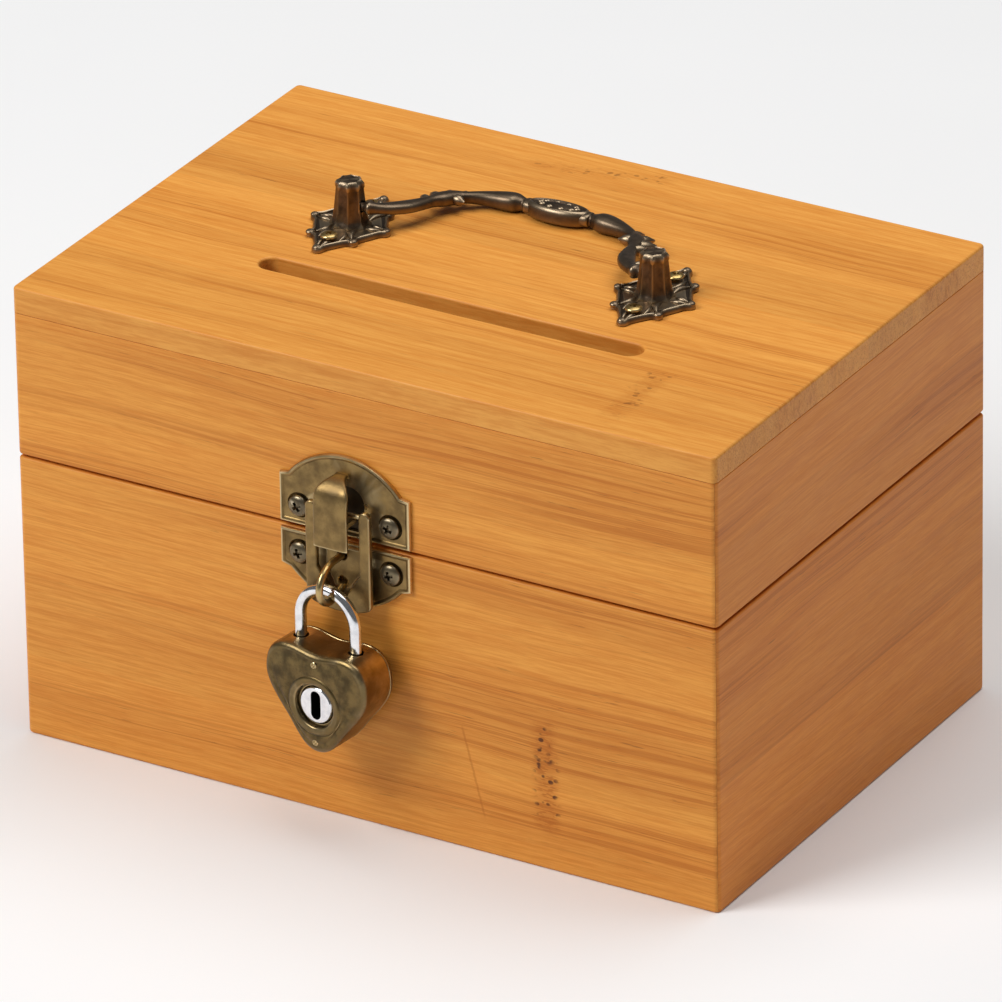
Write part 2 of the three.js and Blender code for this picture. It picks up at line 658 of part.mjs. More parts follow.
const box = new THREE.Group();
box.add(...baseBoards(), ...lidBoards());
for (const [name, side] of [['left', -1], ['right', 1]]) {
  box.add(
    piece(`hinge_base_leaf_${name}`, hingeLeaf(side, false), BRASS),
    piece(`hinge_lid_leaf_${name}`, hingeLeaf(side, true), BRASS),
    piece(`hinge_pin_${name}`, hingePin(side), BRASS),
    piece(`handle_post_${name}`, handlePost(side), DARK_BRONZE),
  );
}
box.add(
  piece('handle_bail', handleBail(), DARK_BRONZE),
  piece('hasp_upper_plate', upperPlate(), BRONZE),
  piece('hasp_lower_plate', lowerPlate(), BRONZE),
  piece('hasp_frame', haspFrame(), BRONZE),
  piece('hasp_crossbar', crossbarAlong(FRAME.armOut, FRAME.crossbar), BRONZE),
  piece('staple_ring', stapleRing(), BRASS),
  ...[...HASP_SCREWS, ...HANDLE_SCREWS, ...HINGE_SCREWS].map(screw),
  padlock(),
);

export default box;
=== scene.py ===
import json
import math
import random

import bmesh
import bpy
from mathutils import Matrix, Vector


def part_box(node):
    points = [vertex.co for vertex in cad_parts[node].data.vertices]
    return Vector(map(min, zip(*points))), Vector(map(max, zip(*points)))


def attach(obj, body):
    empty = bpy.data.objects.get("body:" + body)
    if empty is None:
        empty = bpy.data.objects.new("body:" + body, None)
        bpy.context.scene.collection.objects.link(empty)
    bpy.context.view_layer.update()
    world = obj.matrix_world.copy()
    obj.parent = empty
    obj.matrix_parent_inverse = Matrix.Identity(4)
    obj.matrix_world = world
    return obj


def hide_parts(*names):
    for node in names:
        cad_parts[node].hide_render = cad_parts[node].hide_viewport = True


# A bamboo money box: boards, hasp, heart padlock, cast handle and back hinges.
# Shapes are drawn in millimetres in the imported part's frame, and scaled to metres when a piece is made.

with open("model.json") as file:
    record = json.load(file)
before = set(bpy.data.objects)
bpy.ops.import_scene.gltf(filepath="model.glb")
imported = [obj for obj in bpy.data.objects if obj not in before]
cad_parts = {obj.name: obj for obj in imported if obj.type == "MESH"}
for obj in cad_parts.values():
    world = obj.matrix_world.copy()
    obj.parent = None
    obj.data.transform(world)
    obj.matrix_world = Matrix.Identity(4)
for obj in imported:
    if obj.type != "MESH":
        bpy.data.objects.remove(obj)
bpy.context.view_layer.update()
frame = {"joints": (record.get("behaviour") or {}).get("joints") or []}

MM = 0.001


def corners(node):
    """A CAD node's lowest and highest corners, in millimetres."""
    return [[round(value / MM, 3) for value in corner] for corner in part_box(node)]


def middle(node):
    """The centre of a CAD node's box, in millimetres."""
    return [(low + high) / 2 for low, high in zip(*corners(node))]


def joint(name):
    return next(row for row in frame["joints"] if row["name"] == name)


def pivot(name):
    """Where a joint turns, in millimetres."""
    return tuple(round(value / MM, 3) for value in joint(name)["pos_m"])


(_, _, BOARD_LOW), (HALF_X, HALF_Y, TOP_Z) = corners("lid_top_board")
(_, WALL_OUT, _), (_, WALL_IN, WALL_TOP) = corners("base_front_wall")
(_, _, RAIL_LOW), (_, _, RAIL_TOP) = corners("lid_front_rail")
WALL = WALL_IN - WALL_OUT
SEAM = (WALL_TOP + RAIL_LOW) / 2
FLOOR_TOP = corners("base_floor")[1][2]
CORNER = 1.5            # rounding of the upright corners
TOP_EDGE = 0.78         # rounding of the top board's upper edge
SEAM_EDGE = 0.6         # rounding either side of the seam
FOOT_EDGE = 0.8         # rounding of the walls' lower edge
GLUE_EDGE = 0.15        # rounding of the edges that are glued together
MITRE_GAP = 0.05        # each board stops this far short of its mitre

SLOT = {"x": 1.0, "y": -25.9, "length": 109.0, "width": 7.0}

# The hasp's own centre line, then places measured from it, out from the box and up from the seam.
HASP_X, PIVOT_Y, PIVOT_Z = pivot("hasp_swing")
PIVOT = {"out": -PIVOT_Y - HALF_Y, "up": PIVOT_Z - SEAM}
SCREW_X, _, SCREW_Z = middle("hasp_screw_upper_right")
HASP_SCREW = {"x": SCREW_X - HASP_X, "up": SCREW_Z - SEAM}
HASP_HALF = 18.6
HASP_HOLE = 1.5
TONGUE = {"half": 4.8, "shift": -0.5, "out": 7.0, "thick": 0.6, "shoulder": 13.6, "crown": 4.1}

*LOCK_AT, PLUG_Z = pivot("key_turn")
KEY_AXIS = joint("key_turn")["axis"]
LOCK_TURN = -round(math.degrees(math.atan2(KEY_AXIS[0], KEY_AXIS[1])), 1)
LOCK = {
    "width": 15.6, "bottom": 24.5, "notch": 51.6, "lobe": 52.6, "front": -6.15, "shell_back": 4.25,
    "back": 6.15, "cavity": -3.15, "plug_z": PLUG_Z, "leg_x": 8.5, "rod": 1.55, "crown": 68.7,
}

POST_X, POST_Y, _ = middle("handle_post_right")
BAIL_LEAN = 8.6         # degrees that the bail dips behind its pivot, down to the lid
BAIL_PIVOT = pivot("handle_swing")
BAIL_REACH = 28.6       # from the pivot to the medallion's middle

HINGE_X = middle("hinge_pin_right")[0]
HINGE_HALF = corners("hinge_pin_right")[1][0] - HINGE_X
HINGE_OUT = pivot("lid_hinge")[1] - HALF_Y
HINGE_SCREW_X, _, HINGE_SCREW_Z = middle("hinge_screw_right_lid_b")
HINGE_SCREW = {"x": HINGE_SCREW_X - HINGE_X, "up": HINGE_SCREW_Z - SEAM}
HINGE_LEAF = {"near": 2.2, "far": 12.2, "thick": 1.0, "hole": 1.2}
HINGE_BARREL = {"radius": 1.8, "bore": 1.1, "middle": 4.0, "play": 0.3, "pin": 0.8}


# ---- Drawing helpers ----

def smooth_path(points, steps=6, closed=False):
    """A curve through the points, as a list of vectors."""
    stops = [Vector(p) for p in points]
    count = len(stops)
    spans = count if closed else count - 1

    def stop(i):
        return stops[i % count] if closed else stops[min(max(i, 0), count - 1)]

    path = []
    for i in range(spans):
        a, b, c, d = (stop(i + k) for k in (-1, 0, 1, 2))
        for step in range(steps):
            t = step / steps
            path.append(0.5 * (
                2 * b + (c - a) * t + (2 * a - 5 * b + 4 * c - d) * t * t
                + (3 * b - a - 3 * c + d) * t ** 3
            ))
    if not closed:
        path.append(stops[-1].copy())
    return path


def arc(centre, radius, start, end, steps=12):
    """Points on an arc, in degrees."""
    angles = [math.radians(start + (end - start) * i / steps) for i in range(steps + 1)]
    return [(centre[0] + radius * math.cos(a), centre[1] + radius * math.sin(a)) for a in angles]


def offset(loop, inset):
    """The closed loop drawn in by the given amount."""
    points = [Vector(p[:2]) for p in loop]
    area = sum(a.cross(b) for a, b in zip(points, points[1:] + points[:1]))
    sign = 1 if area > 0 else -1
    moved = []
    for i, point in enumerate(points):
        before = (point - points[i - 1]).normalized()
        after = (points[(i + 1) % len(points)] - point).normalized()
        bisector = Vector((-before.y - after.y, before.x + after.x))
        if bisector.length < 1e-6:
            bisector = Vector((-before.y, before.x))
        bisector.normalize()
        spread = max(0.5, bisector.dot(Vector((-before.y, before.x))))
        moved.append(point + bisector * (sign * inset / spread))
    return moved


def eased(bottom, top, low, high, steps=4):
    """Heights and insets of a board whose lower and upper edges are rounded."""
    turns = [math.pi / 2 * i / steps for i in range(steps + 1)]
    start = [(bottom + low * (1 - math.cos(a)), low * (1 - math.sin(a))) for a in turns]
    end = [(top - high * (1 - math.sin(a)), high * (1 - math.cos(a))) for a in turns]
    return start + end


def bridge(bm, low, high):
    for i in range(len(low)):
        j = (i + 1) % len(low)
        bm.faces.new((low[i], low[j], high[j], high[i]))


def add_loft(bm, rings, wrap=False):
    """Joins rings of equally many points; wrap joins the last to the first instead of capping."""
    rows = [[bm.verts.new(p) for p in ring] for ring in rings]
    for low, high in zip(rows, rows[1:]):
        bridge(bm, low, high)
    if wrap:
        bridge(bm, rows[-1], rows[0])
    else:
        bm.faces.new(rows[0][::-1])
        bm.faces.new(rows[-1])


def add_plate(bm, place, outer, layers, holes=(), hole_layers=None, plain_holes=()):
    """A flat plate with holes. Layers are (height, inset) from its underside to its top."""
    ends = ([], [])
    cuts = [(hole, -1, hole_layers or layers) for hole in holes]
    cuts += [(hole, -1, [(layers[0][0], 0.0), (layers[-1][0], 0.0)]) for hole in plain_holes]
    for loop, side, steps in [(outer, 1, layers)] + cuts:
        rows = [
            [bm.verts.new(place(u, v, height)) for u, v in offset(loop, side * inset)]
            for height, inset in steps
        ]
        for low, high in zip(rows, rows[1:]):
            bridge(bm, low, high)
        ends[0].append(rows[0])
        ends[1].append(rows[-1])
    for rows in ends:
        edges = [bm.edges.get((row[i - 1], row[i])) for row in rows for i in range(len(row))]
        bmesh.ops.triangle_fill(bm, use_beauty=True, edges=edges)


def add_tube(bm, path, up, sizes, sides=16, power=1.0):
    """A bar along a path. sizes are (half width in the path's plane, half width along up)."""
    path = [Vector(p) for p in path]
    up = Vector(up).normalized()
    rings = []
    for i, point in enumerate(path):
        before = path[max(i - 1, 0)]
        after = path[min(i + 1, len(path) - 1)]
        side = (after - before).cross(up).normalized()
        across, along = sizes[i] if isinstance(sizes, list) else sizes
        ring = []
        for k in range(sides):
            c, s = math.cos(math.tau * k / sides), math.sin(math.tau * k / sides)
            c = math.copysign(abs(c) ** power, c)
            s = math.copysign(abs(s) ** power, s)
            ring.append(point + side * (c * across) + up * (s * along))
        rings.append(ring)
    add_loft(bm, rings)


def add_lathe(bm, place, profile, sides=48):
    """A turned shape: profile is (radius, height) from one end to the other."""
    rings = []
    turns = [math.tau * (k + 0.5) / sides for k in range(sides)]
    for radius, height in profile:
        r = max(radius, 0.01)
        rings.append([place(r * math.cos(a), r * math.sin(a), height) for a in turns])
    add_loft(bm, rings)


def add_ball(bm, centre, size, around=20, rings=12):
    matrix = Matrix.Translation(centre) @ Matrix.Diagonal((*size, 1))
    bmesh.ops.create_uvsphere(bm, u_segments=around, v_segments=rings, radius=1, matrix=matrix)


def carve(bm, cutter):
    """The first shape with the second taken out of it."""
    objects = []
    for shape in (bm, cutter):
        bmesh.ops.recalc_face_normals(shape, faces=shape.faces)
        mesh = bpy.data.meshes.new("carving")
        shape.to_mesh(mesh)
        shape.free()
        objects.append(bpy.data.objects.new("carving", mesh))
        bpy.context.scene.collection.objects.link(objects[-1])
    body, tool = objects
    step = body.modifiers.new("cut", "BOOLEAN")
    step.object = tool
    step.solver = "EXACT"
    result = bmesh.new()
    result.from_object(body, bpy.context.evaluated_depsgraph_get())
    for obj in objects:
        mesh = obj.data
        bpy.data.objects.remove(obj)
        bpy.data.meshes.remove(mesh)
    return result


def make(name, bm, material, body, replaced, sharp=32):
    """Makes a piece of the shape, lets it ride its body, and hides the CAD nodes it stands for."""
    bmesh.ops.recalc_face_normals(bm, faces=bm.faces)
    bmesh.ops.scale(bm, vec=(MM, MM, MM), verts=bm.verts)
    mesh = bpy.data.meshes.new(name)
    bm.to_mesh(mesh)
    bm.free()
    mesh.polygons.foreach_set("use_smooth", [True] * len(mesh.polygons))
    mesh.set_sharp_from_angle(angle=math.radians(sharp))
    mesh.materials.append(material)
    obj = bpy.data.objects.new(name, mesh)
    bpy.context.scene.collection.objects.link(obj)
    weighted = obj.modifiers.new("even shading", "WEIGHTED_NORMAL")
    weighted.keep_sharp = True
    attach(obj, body)
    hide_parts(*replaced)
    return obj


# ---- Where the sub-parts sit ----

def flat(u, v, w):
    return Vector((u, v, w))


def on_front(x, z, out):
    """A point given in the hasp's own width and height, and out from the box's front."""
    return Vector((HASP_X + x, -HALF_Y - out, SEAM + z))


def on_back(x, z, out):
    return Vector((x, HALF_Y + out, SEAM + z))


LOCK_FRAME = Matrix.Translation((*LOCK_AT, 0)) @ Matrix.Rotation(math.radians(LOCK_TURN), 4, "Z")


def in_lock(x, y, z):
    return LOCK_FRAME @ Vector((x, y, z))


def in_bail(x, v, w):
    """A point in the bail's own plane, which leans back on the lid."""
    lean = math.radians(BAIL_LEAN)
    y = v * math.cos(lean) + w * math.sin(lean)
    z = -v * math.sin(lean) + w * math.cos(lean)
    return Vector(BAIL_PIVOT) + Vector((x, y, z))


# ---- Materials ----

class Value:
    """A node's output that can be added, multiplied and compared like a number."""

    def __init__(self, graph, socket):
        self.graph, self.socket = graph, socket

    def __add__(self, other):
        return self.graph.math("ADD", self, other)

    def __sub__(self, other):
        return self.graph.math("SUBTRACT", self, other)

    def __mul__(self, other):
        return self.graph.math("MULTIPLY", self, other)

    def __truediv__(self, other):
        return self.graph.math("DIVIDE", self, other)

    def absolute(self):
        return self.graph.math("ABSOLUTE", self)

    def above(self, low, high):
        """0 below low, 1 above high, and smooth between."""
        return self.graph.remap(self, low, high)


class Graph:
    """A material's node tree, written with short calls."""

    def __init__(self, name):
        self.material = bpy.data.materials.new(name)
        self.material.use_nodes = True
        self.tree = self.material.node_tree
        self.shader = self.tree.nodes["Principled BSDF"]
        coords = self.node("ShaderNodeTexCoord")
        scaled = self.node("ShaderNodeVectorMath", operation="SCALE")
        self.tree.links.new(coords.outputs["Object"], scaled.inputs[0])
        scaled.inputs["Scale"].default_value = 1 / MM
        parts = self.node("ShaderNodeSeparateXYZ")
        self.tree.links.new(scaled.outputs[0], parts.inputs[0])
        self.x, self.y, self.z = (Value(self, out) for out in parts.outputs)
        normal = self.node("ShaderNodeSeparateXYZ")
        self.tree.links.new(coords.outputs["Normal"], normal.inputs[0])
        self.normal_x = Value(self, normal.outputs[0])

    def node(self, kind, **settings):
        made = self.tree.nodes.new(kind)
        for key, value in settings.items():
            setattr(made, key, value)
        return made

    def put(self, socket, value):
        if isinstance(value, Value):
            self.tree.links.new(value.socket, socket)
        else:
            socket.default_value = value

    def math(self, operation, *values):
        made = self.node("ShaderNodeMath", operation=operation)
        for socket, value in zip(made.inputs, values):
            self.put(socket, value)
        return Value(self, made.outputs[0])

    def remap(self, value, low, high):
        made = self.node("ShaderNodeMapRange", interpolation_type="SMOOTHSTEP")
        self.put(made.inputs["Value"], value)
        made.inputs["From Min"].default_value = low
        made.inputs["From Max"].default_value = high
        return Value(self, made.outputs["Result"])

    def vector(self, x, y, z):
        made = self.node("ShaderNodeCombineXYZ")
        for socket, value in zip(made.inputs, (x, y, z)):
            self.put(socket, value)
        return Value(self, made.outputs[0])

    def noise(self, x, y, z, detail=2.0, roughness=0.5):
        made = self.node("ShaderNodeTexNoise")
        self.put(made.inputs["Vector"], self.vector(x, y, z))
        made.inputs["Scale"].default_value = 1
        made.inputs["Detail"].default_value = detail
        made.inputs["Roughness"].default_value = roughness
        return Value(self, made.outputs["Fac"])

    def spots(self, x, y, z):
        made = self.node("ShaderNodeTexVoronoi", feature="F1")
        self.put(made.inputs["Vector"], self.vector(x, y, z))
        made.inputs["Scale"].default_value = 1
        return Value(self, made.outputs["Distance"])

    def random(self, value):
        made = self.node("ShaderNodeTexWhiteNoise", noise_dimensions="1D")
        self.put(made.inputs["W"], value)
        return Value(self, made.outputs["Value"])

    def mix(self, factor, a, b, blend="MIX"):
        made = self.node("ShaderNodeMix", data_type="RGBA", blend_type=blend)
        for socket, value in zip((made.inputs[0], made.inputs[6], made.inputs[7]), (factor, a, b)):
            self.put(socket, (*value, 1) if isinstance(value, tuple) else value)
        return Value(self, made.outputs[2])

    def tint(self, colour, gain):
        made = self.node("ShaderNodeVectorMath", operation="SCALE")
        self.put(made.inputs[0], colour)
        self.put(made.inputs["Scale"], gain)
        return Value(self, made.outputs[0])

    def edges(self):
        """How far a spot stands out from its surroundings: over 0.5 on raised edges."""
        return Value(self, self.node("ShaderNodeNewGeometry").outputs["Pointiness"])

    def bump(self, height, strength, distance):
        made = self.node("ShaderNodeBump")
        made.inputs["Strength"].default_value = strength
        made.inputs["Distance"].default_value = distance * MM
        self.put(made.inputs["Height"], height)
        self.tree.links.new(made.outputs["Normal"], self.shader.inputs["Normal"])

    def finish(self, **inputs):
        for name, value in inputs.items():
            self.put(self.shader.inputs[name.replace("_", " ")], value)
        return self.material


LIGHT = (0.83, 0.375, 0.074)
MID = (0.70, 0.262, 0.040)
DARK = (0.47, 0.135, 0.013)
DARKEST = (0.10, 0.028, 0.006)
STRIP = 22.6            # width of one glued bamboo strip


NARROW = 2.0            # a culm mark under this width is one plain line


def culm_joint(g, colour, along, across, mark):
    """Adds a culm's joint: a reddish band across the grain, dotted with dark pores if it is wide."""
    (u0, v0), (u1, v1), width, strength = mark
    length = math.hypot(u1 - u0, v1 - v0)
    du, dv = (u1 - u0) / length, (v1 - v0) / length
    u, v = along - u0, across - v0
    run = (u * du + v * dv) / length
    ragged = g.noise(along * 0.15, across * 0.9, 3.0) - 0.5
    aside = (u * dv - v * du + ragged * (width * 0.7)).absolute()
    inside = (run - 0.5).absolute().above(0.54, 0.42) * aside.above(width * 0.6, width * 0.15)
    if width < NARROW:
        return g.mix(inside * strength, colour, DARK)
    pores = g.spots(along * 0.45, across * 0.6, 1.0).above(0.42, 0.26)
    pores = pores * g.noise(along * 0.25, across * 0.16, 9.0).above(0.42, 0.54)
    dashes = g.noise(along * 0.35, across * 1.7, 5.0).above(0.48, 0.58)
    colour = g.mix(inside * (dashes * 0.5 + 0.35) * strength, colour, DARK)
    return g.mix(inside * pores * strength, colour, DARKEST)


def bamboo(name, grain, seed, painted_shade=(1.0, 1.0, 1.0), marks=(), end_grain=False):
    """Laminated bamboo with its fibres along x or y. marks are ((start), (end), width, strength). The tint
    multiplies the colour: painted shade for boards that face away from the light.
    """
    g = Graph(name)
    along, across, through = {
        "top": (g.x, g.y, g.z), "front": (g.x, g.z, g.y), "side": (g.y, g.z, g.x),
    }[grain]
    wander = g.noise(along * 0.012, across * 0.03, seed, detail=1) - 0.5
    level = across + wander * 5.0
    strip = g.math("FLOOR", (across + seed * 7.3) / STRIP)
    strip_tone = g.random(strip + seed) - 0.5
    fine = g.noise(along * 0.09 + seed, level * 2.1, through * 1.2, detail=5, roughness=0.7)
    fibre = g.noise(along * 0.012, level * 0.8 + seed, through * 0.5, detail=3, roughness=0.6)
    lines = g.noise(along * 0.0035, level * 0.62 + seed * 3, through * 0.3, detail=3, roughness=0.75)
    groups = g.noise(along * 0.003 + seed, level * 0.06, seed, detail=2)
    flecks = g.noise(along * 0.11, level * 2.3, through * 1.6 + seed, detail=2)
    band = groups.above(0.47, 0.6)
    colour = g.mix(fine.above(0.38, 0.62) * 0.65 + fibre.above(0.4, 0.62) * 0.35, LIGHT, MID)
    colour = g.mix(band * 0.22, colour, DARK)
    colour = g.mix(lines.above(0.52, 0.6) * (band * 0.42 + 0.1), colour, DARK)
    colour = g.mix(flecks.above(0.66, 0.76) * (band * 0.3 + 0.14), colour, DARKEST)
    for mark in marks:
        colour = culm_joint(g, colour, along, across, mark)
    shade = strip_tone * 0.1 + 1.0
    if end_grain:
        cut = g.normal_x.absolute().above(0.6, 0.9)
        pores = g.spots(g.x * 0.2, across * 1.5, through * 1.5).above(0.4, 0.2)
        colour = g.mix(cut * (pores * 0.45 + 0.12), colour, DARK)
    g.bump(fine * 0.6 + lines * 0.5 + flecks * 0.3, 0.25, 0.14)
    roughness = g.noise(along * 0.02, across * 0.3, seed) * 0.15 + 0.36
    # The board's tint is multiplied in here: painted shade on the front and side boards.
    return g.finish(
        Base_Color=g.tint(g.mix(1.0, colour, painted_shade, "MULTIPLY"), shade),
        Roughness=roughness, Specular_IOR_Level=0.25,
    )


def metal(name, body, low, worn, roughness=0.4, scale=0.22, wear=0.7):
    """A cast or rolled metal: low colour in its hollows and patches, worn colour on its raised edges."""
    g = Graph(name)
    patches = g.noise(g.x * scale, g.y * scale, g.z * scale, detail=4, roughness=0.55)
    pits = g.noise(g.x * 1.6, g.y * 1.6, g.z * 1.6, detail=3)
    edge = g.edges() + (patches - 0.5) * 0.06
    colour = g.mix(patches.above(0.3, 0.72), body, low)
    colour = g.mix(pits.above(0.6, 0.72) * 0.4, colour, low)
    colour = g.mix(edge.above(0.49, 0.42) * 0.85, colour, low)
    colour = g.mix(edge.above(0.515, 0.58) * wear, colour, worn)
    g.bump(pits * 0.5 + patches, 0.25, 0.25)
    shine = patches * 0.2 + (roughness - 0.1) - edge.above(0.515, 0.58) * 0.1
    return g.finish(Base_Color=colour, Metallic=1.0, Roughness=shine)


def chrome(name):
    g = Graph(name)
    haze = g.noise(g.x * 0.5, g.y * 0.5, g.z * 0.5, detail=4)
    scratch = g.noise(g.x * 4, g.y * 4, g.z * 0.6, detail=2).above(0.6, 0.75)
    colour = g.mix(haze.above(0.4, 0.7), (0.86, 0.87, 0.89), (0.72, 0.73, 0.76))
    return g.finish(Base_Color=colour, Metallic=1.0, Roughness=haze * 0.14 + (scratch * 0.1 + 0.07))


# Each metal's body colour, hollow colour and worn colour, then its roughness, patch scale and wear.
FINISH = {
    "hasp": metal("hasp_bronze", (0.31, 0.205, 0.08), (0.155, 0.10, 0.042), (0.86, 0.68, 0.38)),
    # Near-black sheet for the tongue's window: painted shade, standing where the window would show shadowed
    # wood.
    "recess": metal(
        "hasp_window_painted_shade", (0.035, 0.025, 0.014), (0.012, 0.009, 0.006), (0.1, 0.07, 0.04), 0.6,
    ),
    "staple": metal("staple_brass", (0.52, 0.36, 0.14), (0.25, 0.17, 0.07), (0.9, 0.72, 0.38), 0.32),
    "hasp_screw": metal(
        "hasp_screw", (0.24, 0.19, 0.115), (0.09, 0.07, 0.045), (0.62, 0.52, 0.36), 0.36,
    ),
    "handle": metal(
        "handle_bronze", (0.19, 0.135, 0.09), (0.07, 0.05, 0.035), (0.52, 0.40, 0.26), 0.42, 0.3,
    ),
    "brass_screw": metal(
        "brass_screw", (0.62, 0.42, 0.15), (0.28, 0.18, 0.06), (0.9, 0.74, 0.4), 0.34,
    ),
    "hinge": metal("hinge_brass", (0.60, 0.42, 0.17), (0.28, 0.19, 0.08), (0.88, 0.7, 0.38), 0.33),
    "case": metal(
        "padlock_bronze", (0.185, 0.128, 0.052), (0.075, 0.053, 0.025), (0.78, 0.58, 0.30), 0.36, 0.3, 0.85,
    ),
    "rivet": metal("rivet_brass", (0.42, 0.3, 0.13), (0.2, 0.14, 0.06), (0.7, 0.55, 0.3), 0.34),
    "chrome": chrome("chrome"),
    # Black sheet inside the key slot: painted shade, where the slot's bare chrome walls would show.
    "keyway": metal(
        "keyway_painted_shade", (0.012, 0.012, 0.012), (0.004, 0.004, 0.004), (0.03, 0.03, 0.03), 0.6,
    ),
    "steel": metal("spring_steel", (0.48, 0.47, 0.45), (0.26, 0.25, 0.24), (0.75, 0.74, 0.72), 0.3),
}

# Culm joints: start, end, width and strength, along and across the board's grain.
FRONT_MARKS = [((51, 41), (52, 10), 7.5, 0.95), ((27.7, 34), (33.9, 10), 0.8, 0.45)]
TOP_MARKS = [((-23, 55), (15, 63), 5, 0.45), ((66, -62), (66, -33), 7, 0.5)]
# Tints standing in for how the light falls on each face: painted shade, slight on the front boards and strong
# on the side boards, which it also shifts toward red; the top board is left untinted.
FRONT_PAINTED_SHADE = (0.99, 0.95, 0.86)
SIDE_PAINTED_SHADE = (0.94, 0.76, 0.56)


# ---- Boards ----

def wall_ring(side, z, inset):
    """A mitred board seen from above at one height: side 0 front, 1 right, 2 back, 3 left."""
    half, out = (HALF_Y, HALF_X) if side % 2 else (HALF_X, HALF_Y)
    radius = max(CORNER - inset, 0.05)
    x, y = half - CORNER, out - CORNER
    outer = arc((-x, -y), radius, 225, 270, 5) + arc((x, -y), radius, 270, 315, 5)
    inner = [(half - WALL, WALL - out), (WALL - half, WALL - out)]
    turn = Matrix.Rotation(math.radians(90 * side), 3, "Z")
    close = lambda u: u - math.copysign(MITRE_GAP, u)
    return [turn @ Vector((close(u), v, z)) for u, v in outer + inner]


def wall(name, body, side, layers, seed, marks, painted_shade):
    bm = bmesh.new()
    add_loft(bm, [wall_ring(side, z, inset) for z, inset in layers])
    grain = "side" if side % 2 else "front"
    material = bamboo(name + "_bamboo", grain, seed, painted_shade, marks)
    make(name + "_board", bm, material, body, [name], sharp=28)


def boards():
    base_layers = eased(0.0, WALL_TOP, FOOT_EDGE, SEAM_EDGE)
    lid_layers = eased(RAIL_LOW, RAIL_TOP, SEAM_EDGE, GLUE_EDGE)
    for side, word in enumerate(["front", "right", "back", "left"]):
        marks = FRONT_MARKS if word == "front" else ()
        # Painted shade: the side boards darker than the front, the front a little darker than the top.
        painted_shade = SIDE_PAINTED_SHADE if side % 2 else FRONT_PAINTED_SHADE
        wall(f"base_{word}_wall", "base", side, base_layers, 3.1 + side * 4.7, marks, painted_shade)
        wall(f"lid_{word}_rail", "lid", side, lid_layers, 21.4 + side * 5.3, (), painted_shade)
    top_board()
    bm = bmesh.new()
    x, y, _ = corners("base_floor")[1]
    rim = [(-x, -y), (x, -y), (x, y), (-x, y)]
    add_plate(bm, flat, rim, eased(0.0, FLOOR_TOP, 0.3, 0.2))
    make("base_floor_board", bm, bamboo("floor_bamboo", "top", 61.0), "base", ["base_floor"])


def rounded_box(half_x, half_y, radius):
    x, y = half_x - radius, half_y - radius
    corners = [((x, -y), 270), ((x, y), 0), ((-x, y), 90), ((-x, -y), 180)]
    return [p for centre, start in corners for p in arc(centre, radius, start, start + 90, 6)]


def top_board():
    bm = bmesh.new()
    reach = (SLOT["length"] - SLOT["width"]) / 2
    radius = SLOT["width"] / 2
    slot = arc((SLOT["x"] + reach, SLOT["y"]), radius, -90, 90, 16)
    slot += arc((SLOT["x"] - reach, SLOT["y"]), radius, 90, 270, 16)
    rim = rounded_box(HALF_X, HALF_Y, CORNER)
    add_plate(bm, flat, rim, eased(BOARD_LOW, TOP_Z, GLUE_EDGE, TOP_EDGE), [slot])
    material = bamboo("top_bamboo", "top", 8.2, marks=TOP_MARKS, end_grain=True)
    make("lid_top_board_visible", bm, material, "lid", ["lid_top_board"], sharp=28)


# ---- Screws ----

def screw_shape(head, height, shank, length):
    """A pan-head screw with a cross recess, pointing down from z = 0."""
    bm = bmesh.new()
    turns = [math.radians(k * 15) for k in range(6)]
    dome = [(head * math.cos(a), height * (0.25 + 0.75 * math.sin(a))) for a in turns]
    profile = [(0.05, -length), (shank * 0.8, -length + shank * 1.5)]
    for k in range(12):
        z = -length + shank * 1.6 + k * (length - shank * 2.2) / 12
        profile += [(shank * 0.8, z), (shank, z + 0.12)]
    profile += [(shank, 0.02), (head * 0.96, 0.02), (head, height * 0.12)] + dome + [(0.0, height)]
    add_lathe(bm, flat, profile, 32)
    arm, half = head * 0.56, head * 0.15
    cross = [(-arm, -half), (arm, -half), (arm, half), (-arm, half)]
    for turn in (0, 90):
        rotate = Matrix.Rotation(math.radians(turn), 3, "Z")
        tool = bmesh.new()
        levels = ((height * 0.3, 0.5, 0.8), (height + 1, 1.3, 1.3))
        add_loft(tool, [
            [rotate @ Vector((u * long, v * wide, z)) for u, v in cross]
            for z, long, wide in levels
        ])
        bm = carve(bm, tool)
    return bm


# Head radius, head height, shank radius and length below the head.
SCREW_SIZES = {"large": (2.8, 1.4, 1.2, 7.0), "small": (2.2, 1.0, 0.9, 5.5)}
INTO = {
    "down": Matrix.Identity(4),
    "back": Matrix.Rotation(math.radians(90), 4, "X"),
    "front": Matrix.Rotation(math.radians(-90), 4, "X"),
}


def screw(node, into, size, body, material):
    """Makes a screw where its CAD node is, pointing down, back or front."""
    head, height, shank, length = SCREW_SIZES[size]
    shape = screw_shape(head, height, shank, length)
    under_head = Vector(middle(node)) + INTO[into] @ Vector((0, 0, (length - height) / 2))
    turn = Matrix.Rotation(math.radians(random.Random(node).uniform(0, 90)), 4, "Z")
    bmesh.ops.transform(shape, matrix=Matrix.Translation(under_head) @ INTO[into] @ turn, verts=shape.verts)
    make(node + "_visible", shape, material, body, [node], sharp=30)


def screws():
    for side in ("left", "right"):
        for level, body in (("upper", "lid"), ("lower", "base")):
            name = f"hasp_screw_{level}_{side}"
            screw(name, "back", "large", body, FINISH["hasp_screw"])
    for side in ("left", "right"):
        for end in ("front", "rear"):
            name = f"handle_screw_{side}_{end}"
            screw(name, "down", "small", "lid", FINISH["brass_screw"])
        for body in ("base", "lid"):
            for letter in ("a", "b"):
                name = f"hinge_screw_{side}_{body}_{letter}"
                screw(name, "front", "small", body, FINISH["brass_screw"])


# ---- Back hinges ----

